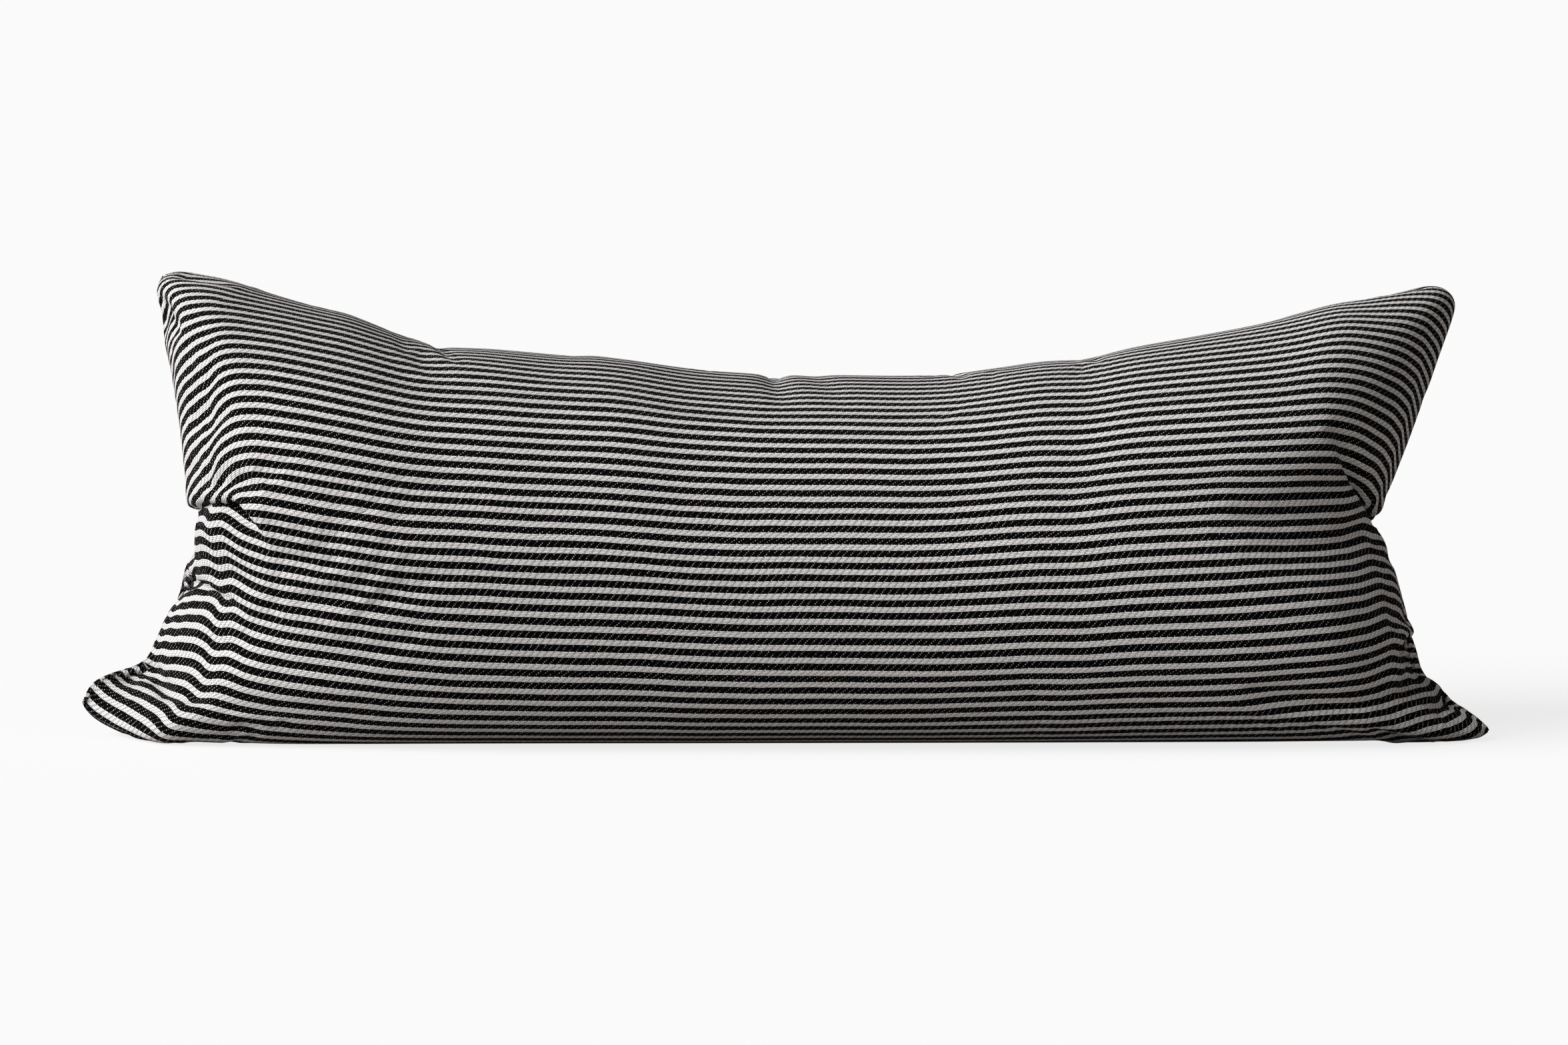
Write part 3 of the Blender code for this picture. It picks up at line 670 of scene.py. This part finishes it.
def moulded_nylon(name, colour):
    finish = Finish(name, roughness=0.4)
    x, y, z = finish.object_place()
    speckle = finish.noise(finish.vector(x, y, z), 3.0, 3.0)
    bright = tuple(1.6 * value for value in colour)
    finish.colour(finish.mix(colour, bright, speckle.ramp(0.4, 0.7)))
    finish.roughness(speckle * 0.3 + 0.3)
    finish.bump(speckle, 0.00005, 0.4)
    return finish.material


def loose_fibre(name):
    finish = Finish(name, roughness=0.95, sheen=0.4)
    x, y, z = finish.object_place()
    strands = finish.noise(finish.vector(x * 0.4, y * 0.4, z * 1.6), 1.0, 5.0)
    finish.colour(finish.mix((0.70, 0.70, 0.69), (0.93, 0.93, 0.92), strands.ramp(0.35, 0.65)))
    finish.bump(strands, 0.002, 0.8)
    return finish.material


# ---------------------------------------------------------------- making pieces
def new_piece(name, verts, faces, material, places=None):
    """A shaded piece that rides on the cover; places are flat cloth places by vertex."""
    mesh = bpy.data.meshes.new(name)
    mesh.from_pydata(np.asarray(verts, float).tolist(), [],
                     faces.tolist() if isinstance(faces, np.ndarray) else faces)
    if places is not None:
        layer = mesh.uv_layers.new(name="cloth")
        corner = np.empty(len(mesh.loops), np.int32)
        mesh.loops.foreach_get("vertex_index", corner)
        layer.data.foreach_set("uv", np.asarray(places, np.float32)[corner].ravel())
    mesh.shade_smooth()
    mesh.materials.append(material)
    piece = add_object(name, mesh)
    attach(piece, "cover")
    return piece


def refine(grid):
    """Twice the faces each way, on a smooth curve through the points."""
    for axis in (0, 1):
        lines = np.moveaxis(grid, axis, 0)
        bend = lines[:-2] - lines[1:-1] * 2.0 + lines[2:]
        bend = np.concatenate([bend[:1], bend, bend[-1:]])
        finer = np.empty((2 * len(lines) - 1,) + lines.shape[1:])
        finer[::2] = lines
        finer[1::2] = (lines[:-1] + lines[1:]) / 2.0 - (bend[:-1] + bend[1:]) / 16.0
        grid = np.moveaxis(finer, 0, axis)
    return grid


# ---------------------------------------------------------------- layers of sewn cloth
COVER = dict(thickness=0.0010, allowance=0.008, roll=0.0014, slot=True)
INSERT = dict(thickness=0.0005, allowance=0.006, roll=0.0006, slot=False)
# How far a layer lies inside the one around it: at the long seams, the ends, the faces, and
# above the zip.
INSERT_INSET = dict(seam_inset=0.024, end_inset=0.062, face_inset=0.006, zip_room=0.001)
FILL_INSET = dict(seam_inset=0.016, end_inset=0.030, face_inset=0.003, zip_room=0.005)
# Labels behind the back panels: the columns and rows they cover, and how far behind.
CARE_LABEL = dict(columns=(48, 55), rows=(32, 41), depth=0.0016)
INSERT_TAG = dict(columns=(144, 151), rows=(40, 49), depth=0.0010)
SEAM_GAP = 0.0002              # half the gap between two panels along their seam
SEAM_LOOK_IN = 4               # columns and rows from the border to where a seam heads for
SEAM_SMOOTHING = 6
CORNER_TRIM = 0.35             # the allowances widen by this much for each metre from a corner
SLOT_HALF_WIDTH = 0.0055       # the panels' folded edges along the zip, as in the frame
SLOT_RISE = 0.0045
SLOT_TAPER = (0.379, 0.397)    # distance from the middle where the slot narrows and ends
LIP_REACH = 0.020              # how far up the panels the slot parts them
LABEL_THICKNESS = 0.0003
CLOSING_MARGIN = 0.03          # from a nested layer's border to where it is full again
ZIP_ROOM = (0.012, 0.030)      # from the zip's middle: where the room above it ends
FLOOR_CLEARANCE = 0.0003       # the cover lies this far above the floor


def unit(vectors):
    return vectors / np.maximum(np.linalg.norm(vectors, axis=-1, keepdims=True), 1e-12)


def border(grid):
    """The border of a grid of points or ids, once around."""
    return np.concatenate([grid[:-1, 0], grid[-1, :-1], grid[:0:-1, -1], grid[0, :0:-1]])


def inside_border(grid, steps):
    """For each border point, the point that lies some steps in from it."""
    columns = np.clip(np.arange(grid.shape[0]), steps, grid.shape[0] - 1 - steps)
    rows = np.clip(np.arange(grid.shape[1]), steps, grid.shape[1] - 1 - steps)
    return border(grid[columns[:, None], rows[None, :]])


def smooth_loop(vectors):
    for _ in range(SEAM_SMOOTHING):
        vectors = unit(vectors * 2.0 + np.roll(vectors, 1, 0) + np.roll(vectors, -1, 0))
    return vectors


def slot_share(x):
    """1 along the zip, where the seam stays open, 0 beyond the slot's ends."""
    return 1.0 - smooth_step(*SLOT_TAPER, np.abs(x))


def open_slot(grid, facing):
    """Lift and part the panel's edge along the zip."""
    height = np.linspace(0.0, FLAT_HEIGHT, grid.shape[1])[None, :]
    near = np.clip(1.0 - height / LIP_REACH, 0.0, 1.0) ** 2 * slot_share(grid[..., 0])
    opened = grid.copy()
    opened[..., 1] += near * SLOT_HALF_WIDTH * (-1.0 if facing == "front" else 1.0)
    opened[..., 2] += near * SLOT_RISE
    return opened


class Seam:
    """Where the two panels of a cover meet: the directions into it and to either side."""

    def __init__(self, front, back):
        near_front = inside_border(front, SEAM_LOOK_IN)
        near_back = inside_border(back, SEAM_LOOK_IN)
        self.line = border(front)
        self.inward = smooth_loop(unit((near_front + near_back) / 2.0 - self.line))
        apart = near_front - near_back
        apart -= self.inward * np.sum(apart * self.inward, axis=-1, keepdims=True)
        self.forward = smooth_loop(unit(apart))
        self.from_corner = np.hypot(*edge_gaps(border(flat_points(front.shape[:2]))))

    def rings(self, facing, layer):
        """The panel's edge, turned in: outer edge, both corners of its raw end, inner edge."""
        thick = layer["thickness"]
        side = self.forward if facing == "front" else -self.forward
        inner = layer["roll"] + thick
        raw = np.minimum(layer["allowance"], inner + CORNER_TRIM * self.from_corner)[:, None]
        steps = ((layer["roll"], SEAM_GAP), (raw, SEAM_GAP), (raw, SEAM_GAP + thick),
                 (inner, SEAM_GAP + thick))
        rings = [self.line + self.inward * depth + side * offset for depth, offset in steps]
        if not layer["slot"]:
            return rings
        bottom = np.abs(self.line[:, 2:]) + np.abs(self.line[:, 1:2] - SEAM_Y) < 0.004
        share = slot_share(self.line[:, :1]) * bottom
        outward = np.array([0.0, -1.0 if facing == "front" else 1.0, 0.0])
        up = np.array([0.0, 0.0, 1.0])
        lip = self.line + outward * SLOT_HALF_WIDTH + up * SLOT_RISE
        hem = ((0.0, 0.0), (layer["allowance"], 2.0 * thick), (layer["allowance"], thick * 1.2),
               (2.0 * thick, thick * 1.2))
        turned = [lip + outward * depth + up * rise for depth, rise in hem]
        return [blend(ring, hemmed, share) for ring, hemmed in zip(rings, turned)]


def strip(first, second):
    """Quads between two closed rows of vertex ids."""
    return np.stack([first, second, np.roll(second, -1), np.roll(first, -1)], -1)


def wide_strip(fine, coarse):
    """Five-sided faces between a closed row of ids and one with half as many."""
    middle, end = fine[1::2], np.roll(fine[::2], -1)
    return np.stack([fine[::2], coarse, np.roll(coarse, -1), end, middle], -1)


def sewn_panel(name, facing, grid, seam_fine, layer, material):
    """A panel as a closed sheet: a fine outer face, turned-in edges and a coarser inner face."""
    outer = refine(grid)
    outer[..., 2] = np.maximum(outer[..., 2], FLOOR_CLEARANCE)
    inner = grid - grid_normals(grid, facing) * layer["thickness"]
    if layer["slot"]:
        outer, inner = open_slot(outer, facing), open_slot(inner, facing)
    rings = seam_fine.rings(facing, layer)
    outer_ids = np.arange(outer.shape[0] * outer.shape[1]).reshape(outer.shape[:2])
    inner_ids = np.arange(inner.shape[0] * inner.shape[1]).reshape(inner.shape[:2])
    loop = border(outer_ids)
    points = outer.reshape(-1, 3)
    points[loop] = rings[0]
    inner_points = inner.reshape(-1, 3)
    inner_points[border(inner_ids)] = rings[3][::2]
    count = len(points)
    raw_ids = [count + np.arange(len(loop)) + k * len(loop) for k in (0, 1)]
    inner_ids = inner_ids + count + 2 * len(loop)
    points = np.concatenate([points, rings[1], rings[2], inner_points])

    flat_outer = flat_points(outer.shape[:2])
    flat_inner = flat_points(inner.shape[:2])
    middle = np.array([FLAT_LENGTH, FLAT_HEIGHT]) / 2.0
    edge = border(flat_outer)
    beyond = edge + np.sign(np.round((edge - middle) / middle, 6)
                            * (np.abs(edge - middle) >= middle - 1e-6)) * layer["allowance"]
    places = np.concatenate([flat_outer.reshape(-1, 2), beyond, beyond,
                             flat_inner.reshape(-1, 2)])
    faces = [quads(outer_ids), strip(loop, raw_ids[0]), strip(raw_ids[0], raw_ids[1]),
             wide_strip(raw_ids[1], border(inner_ids)), quads(inner_ids)[:, ::-1]]
    if facing == "back":
        faces = [block[:, ::-1] for block in faces]
        places[:, 0] = FLAT_LENGTH - places[:, 0]
    faces = [face for block in faces for face in block.tolist()]
    return new_piece(name, points, faces, material, places=places)


def nested(front, back, seam_inset, end_inset, face_inset, zip_room):
    """Both panels of a layer that lies inside the given one, closed along its own border."""
    columns, rows = front.shape[0] - 1, front.shape[1] - 1
    across = np.linspace(end_inset, FLAT_LENGTH - end_inset, columns + 1) * columns / FLAT_LENGTH
    up = np.linspace(seam_inset, FLAT_HEIGHT - seam_inset, rows + 1) * rows / FLAT_HEIGHT
    layers = []
    for facing, grid in (("front", front), ("back", back)):
        moved = grid - grid_normals(grid, facing) * face_inset
        moved[..., 2] = np.maximum(moved[..., 2], face_inset)
        for axis, wanted in ((0, across), (1, up)):
            lines = np.moveaxis(moved, axis, 0)
            low = np.minimum(wanted.astype(int), len(lines) - 2)
            share = (wanted - low)[:, None, None]
            moved = np.moveaxis(blend(lines[low], lines[low + 1], share), 0, axis)
        layers.append(moved)
    margin = edge_gaps(flat_points(front.shape[:2])).min(0)
    closing = np.sqrt(1.0 - (1.0 - np.clip(margin / CLOSING_MARGIN, 0.0, 1.0)) ** 2)[..., None]
    middle, half = (layers[0] + layers[1]) / 2.0, (layers[0] - layers[1]) / 2.0
    return [above_zip(layer, zip_room) for layer in (middle + half * closing,
                                                     middle - half * closing)]


def above_zip(points, room):
    """Lift what lies on the zip until it clears the slider."""
    near = 1.0 - smooth_step(*ZIP_ROOM, np.abs(points[..., 1] - SEAM_Y))
    lowest = near * (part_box("zip_slider")[1].z + room)
    lifted = points.copy()
    lifted[..., 2] = np.maximum(points[..., 2], lowest)
    return lifted


def label_on(name, grid, columns, rows, depth, material):
    """A thin label behind a stretch of a back panel."""
    stretch = slice(columns[0], columns[1] + 1), slice(rows[0], rows[1] + 1)
    patch, normals = grid[stretch], grid_normals(grid, "back")[stretch]
    near, far = patch - normals * depth, patch - normals * (depth + LABEL_THICKNESS)
    ids = np.arange(patch.shape[0] * patch.shape[1]).reshape(patch.shape[:2])
    far_ids = ids + ids.size
    faces = np.concatenate([quads(ids)[:, ::-1], quads(far_ids),
                            strip(border(ids), border(far_ids))[:, ::-1]])
    flat = flat_points(grid.shape[:2])[stretch].reshape(-1, 2)
    places = np.concatenate([flat, flat])
    points = np.concatenate([near.reshape(-1, 3), far.reshape(-1, 3)])
    return new_piece(name, points, faces, material, places=places)


# ---------------------------------------------------------------- threads and zip coils
def tube(path, radius, sides):
    """Points and faces of a round tube along a path of points."""
    along = unit(np.gradient(path, axis=0))
    helper = np.where(np.abs(along[:, 2:]) < 0.9, [[0.0, 0.0, 1.0]], [[1.0, 0.0, 0.0]])
    first = unit(np.cross(along, helper))
    second = np.cross(along, first)
    turn = np.linspace(0.0, 2.0 * math.pi, sides, endpoint=False)[None, :, None]
    rings = (path[:, None] + radius * (first[:, None] * np.cos(turn)
                                       + second[:, None] * np.sin(turn)))
    ids = np.arange(len(path) * sides).reshape(len(path), sides)
    around = np.roll(ids, -1, axis=1)
    faces = np.stack([ids[:-1], around[:-1], around[1:], ids[1:]], -1).reshape(-1, 4).tolist()
    faces.append(ids[0, ::-1].tolist())
    faces.append(ids[-1].tolist())
    return rings.reshape(-1, 3), faces


def tubes(name, paths, radius, material, sides=6):
    """Several tubes as one piece."""
    points, faces, count = [], [], 0
    for path in paths:
        ring_points, ring_faces = tube(path, radius, sides)
        points.append(ring_points)
        faces += [[count + k for k in face] for face in ring_faces]
        count += len(ring_points)
    return new_piece(name, np.concatenate(points), faces, material)


OVERLOCK_PITCH = 0.003
OVERLOCK_WIDTH = 0.004         # how far the thread reaches back from the raw edge
THREAD_RADIUS = 0.00025


def overlock(name, seam, stretch, layer, material):
    """Thread that zigzags around the raw edges of a seam's two allowances."""
    first, last = stretch
    line = seam.line[first:last]
    place = np.concatenate([[0.0], np.cumsum(np.linalg.norm(np.diff(line, axis=0), axis=1))])
    stitches = int(place[-1] / OVERLOCK_PITCH)
    wanted = np.linspace(0.0, place[-1], 4 * stitches + 1)

    def along(values):
        return np.stack([np.interp(wanted, place, values[first:last, c]) for c in range(3)], -1)

    phase = np.arange(len(wanted)) % 4
    cover = layer["thickness"] + SEAM_GAP + THREAD_RADIUS
    side = np.choose(phase, [1.0, 0.0, -1.0, 0.0]) * cover
    depth = layer["allowance"] + np.choose(phase, [-1.0, 0.0, -1.0, 0.0]) * OVERLOCK_WIDTH
    depth += np.choose(phase, [0.0, 1.0, 0.0, 1.0]) * THREAD_RADIUS * 1.4
    path = (along(seam.line) + unit(along(seam.inward)) * depth[:, None]
            + unit(along(seam.forward)) * side[:, None])
    return tubes(name, [path], THREAD_RADIUS, material)


COIL_PITCH = 0.0014
COIL_WIRE = 0.00032
COIL_STEPS = 8                 # points on each turn of a coil


def zip_coil(side, material):
    """The nylon coil of one side, wound inside the plain bar that stands for it."""
    node = "zip_coil_" + side
    low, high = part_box(node)
    turns = int((high.x - low.x) / COIL_PITCH)
    angle = np.arange(turns * COIL_STEPS + 1) * 2.0 * math.pi / COIL_STEPS
    shift = COIL_PITCH / 2.0 if side == "back" else 0.0
    x = low.x + COIL_WIRE + shift + angle / (2.0 * math.pi) * (
        (high.x - low.x - 2.0 * COIL_WIRE - COIL_PITCH / 2.0) / turns)
    y = (low.y + high.y) / 2.0 + np.cos(angle) * ((high.y - low.y) / 2.0 - COIL_WIRE)
    z = (low.z + high.z) / 2.0 + np.sin(angle) * ((high.z - low.z) / 2.0 - COIL_WIRE)
    piece = tubes("zip_teeth_" + side, [np.stack([x, y, z], -1)], COIL_WIRE, material,
                  sides=5)
    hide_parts(node)
    return piece


STITCH_LENGTH = 0.0026
STITCH_PITCH = 0.0032


def tape_stitching(side, material):
    """The row of stitches that holds one tape to the cover's folded edge."""
    node = "zip_stitching_" + side
    low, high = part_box(node)
    radius = min(high.y - low.y, high.z - low.z) / 2.0
    middle = (low + high) / 2.0
    starts = np.arange(low.x, high.x - STITCH_LENGTH, STITCH_PITCH)
    paths = []
    for start in starts:
        share = np.linspace(0.0, 1.0, 5)
        sag = np.sin(share * math.pi) * radius * 0.4
        paths.append(np.stack([start + share * STITCH_LENGTH, np.full(5, middle.y),
                               middle.z + radius * 0.2 - sag], -1))
    piece = tubes("zip_stitches_" + side, paths, radius * 0.7, material, sides=5)
    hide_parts(node)
    return piece


# ---------------------------------------------------------------- camera, light and floor
CAMERA_LENS = 200.0
SENSOR_WIDTH = 36.0
FRAME_WIDTH = 1.0175           # metres across the picture, at the pillow
TARGET = Vector((-0.0013, -0.060, 0.1441))


def make_camera():
    forward = Vector((0.0, math.cos(VIEW_TILT), -math.sin(VIEW_TILT)))
    distance = CAMERA_LENS / SENSOR_WIDTH * FRAME_WIDTH
    camera = bpy.data.cameras.new("camera")
    camera.lens = CAMERA_LENS
    camera.sensor_width = SENSOR_WIDTH
    viewer = add_object("camera", camera)
    viewer.location = TARGET - forward * distance
    viewer.rotation_euler = forward.to_track_quat("-Z", "Y").to_euler()
    bpy.context.scene.camera = viewer


SOFT_LIGHT = 0.19
SUN_ENERGY = 5.0
SUN_ANGLE = math.radians(50.0)
SUN_DIRECTION = Vector((1.5, 0.55, -1.0))
BACKDROP = 0.980               # brightness of the plain backdrop and the lit floor


def shader(tree, kind, colour, strength=None):
    node = tree.nodes.new(kind)
    node.inputs["Color"].default_value = (*colour, 1.0)
    if strength is not None:
        node.inputs["Strength"].default_value = strength
    return node.outputs[0]


def mixed(tree, first, second):
    """A mix of two shaders, and the slot for the second one's share."""
    mix = tree.nodes.new("ShaderNodeMixShader")
    tree.links.new(first, mix.inputs[1])
    tree.links.new(second, mix.inputs[2])
    return mix.outputs[0], mix.inputs[0]


def show_and_light(tree, output, seen, lit):
    """The camera sees the one shader, the pillow is lit by the other."""
    surface, share = mixed(tree, lit, seen)
    rays = tree.nodes.new("ShaderNodeLightPath")
    tree.links.new(rays.outputs["Is Camera Ray"], share)
    tree.links.new(surface, tree.nodes.new(output).inputs["Surface"])


def make_world():
    world = bpy.data.worlds.new("studio")
    bpy.context.scene.world = world
    world.use_nodes = True
    tree = world.node_tree
    tree.nodes.clear()
    seen = shader(tree, "ShaderNodeBackground", (1.0, 1.0, 1.0), BACKDROP)
    soft = shader(tree, "ShaderNodeBackground", (1.0, 0.93, 0.885), SOFT_LIGHT)
    show_and_light(tree, "ShaderNodeOutputWorld", seen, soft)


def make_lights():
    sun = bpy.data.lights.new("key", "SUN")
    sun.energy = SUN_ENERGY
    sun.angle = SUN_ANGLE
    sun.color = (0.99, 0.99, 1.0)
    key = add_object("key", sun)
    key.rotation_euler = SUN_DIRECTION.to_track_quat("-Z", "Y").to_euler()


FLOOR_GLOW = 0.8               # share of the floor's brightness that no shadow takes away


def make_floor():
    """White sweep: lit so brightly that it burns out, with a faint shadow left."""
    bpy.ops.mesh.primitive_plane_add(size=60.0)
    floor = bpy.context.object
    floor.name = "floor"
    material = bpy.data.materials.new("floor")
    material.use_nodes = True
    tree = material.node_tree
    tree.nodes.clear()
    paper = shader(tree, "ShaderNodeBsdfDiffuse", (0.82, 0.82, 0.82))
    glow = shader(tree, "ShaderNodeEmission", (1.0, 1.0, 1.0), BACKDROP + 0.01)
    seen, share = mixed(tree, paper, glow)
    share.default_value = FLOOR_GLOW
    bounce = shader(tree, "ShaderNodeBsdfDiffuse", (0.37, 0.355, 0.34))
    show_and_light(tree, "ShaderNodeOutputMaterial", seen, bounce)
    floor.data.materials.append(material)


# ---------------------------------------------------------------- the whole scene
make_camera()
make_world()
make_lights()
make_floor()
bpy.context.scene.view_settings.view_transform = "Standard"

FOLDS = TOP_FOLDS + LEFT_FOLDS + RIGHT_FOLDS
laid = [lay_panel(facing, FOLDS) for facing in ("front", "back")]
sew(*laid)
front_grid, back_grid = simulate(*laid)

twill = striped_twill()
cover_seam = Seam(refine(front_grid), refine(back_grid))
for facing, grid in (("front", front_grid), ("back", back_grid)):
    panel = sewn_panel("cover_" + facing, facing, grid, cover_seam, COVER, twill)
    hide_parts(f"cover_{facing}_panel")

insert_cotton = plain_weave("insert_cotton", (0.80, 0.79, 0.76), 0.5)
dents = [soft_dent(fold) for fold in (LEFT_FOLDS[0], RIGHT_FOLDS[0])]
dented = [lay_panel(facing, dents) + smoothed(grid - start)
          for facing, grid, start in zip(("front", "back"), (front_grid, back_grid), laid)]
sew(*dented)
insert_front, insert_back = nested(*dented, **INSERT_INSET)
insert_seam = Seam(refine(insert_front), refine(insert_back))
for facing, grid in (("front", insert_front), ("back", insert_back)):
    panel = sewn_panel("insert_" + facing, facing, grid, insert_seam, INSERT, insert_cotton)
    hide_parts(f"insert_{facing}_panel")

fill_points, fill_faces, _ = closed_surface(*nested(insert_front, insert_back, **FILL_INSET))
fill = new_piece("fill", fill_points, fill_faces, loose_fibre("polyester_fibre"))
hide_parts("fibre_fill")

satin = plain_weave("label_satin", (0.82, 0.82, 0.80), 0.25, sheen=0.4)
care_label = label_on("care_label", back_grid, material=satin, **CARE_LABEL)
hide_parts("cover_care_label")
insert_tag = label_on("insert_tag", insert_back, material=satin, **INSERT_TAG)
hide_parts("insert_label")

cover_thread = spun_thread("cover_thread", (0.06, 0.055, 0.055))
insert_thread = spun_thread("insert_thread", (0.78, 0.77, 0.74))
SEAM_START = 8                 # seam points from a corner to the start of its thread
STRETCHES = {}                 # seam points of each edge, once around
corner_point = 0
for edge, length in zip(("bottom", "right", "top", "left"), (COLUMNS, ROWS, COLUMNS, ROWS)):
    next_corner = corner_point + 2 * length
    STRETCHES[edge] = (corner_point + SEAM_START, next_corner - SEAM_START)
    corner_point = next_corner
for edge in ("top", "left", "right"):
    stitches = overlock("cover_overlock_" + edge, cover_seam, STRETCHES[edge], COVER,
                        cover_thread)
    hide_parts("cover_seam_thread_" + edge)
for edge in ("top", "bottom", "left", "right"):
    stitches = overlock("insert_overlock_" + edge, insert_seam, STRETCHES[edge], INSERT,
                        insert_thread)
    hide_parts("insert_seam_thread_" + edge)

nylon = moulded_nylon("zip_nylon", (0.022, 0.021, 0.022))
zip_thread = spun_thread("zip_thread", (0.05, 0.048, 0.05))
for side in ("front", "back"):
    zip_coil(side, nylon)
    tape_stitching(side, zip_thread)
tape = woven_tape("zip_tape", (0.030, 0.028, 0.030))
stop_metal = brushed_metal("zip_stop_metal", (0.30, 0.29, 0.28))
KEPT_NODES = {
    "zip_tape_front": tape, "zip_tape_back": tape,
    "zip_top_stop_front": stop_metal, "zip_top_stop_back": stop_metal,
    "zip_bottom_stop": stop_metal,
    "zip_slider": brushed_metal("zip_slider_metal", (0.16, 0.155, 0.15)),
    "zip_pull_tab": brushed_metal("zip_pull_metal", (0.20, 0.19, 0.185)),
}
for node, material in KEPT_NODES.items():
    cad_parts[node].data.materials[0] = material
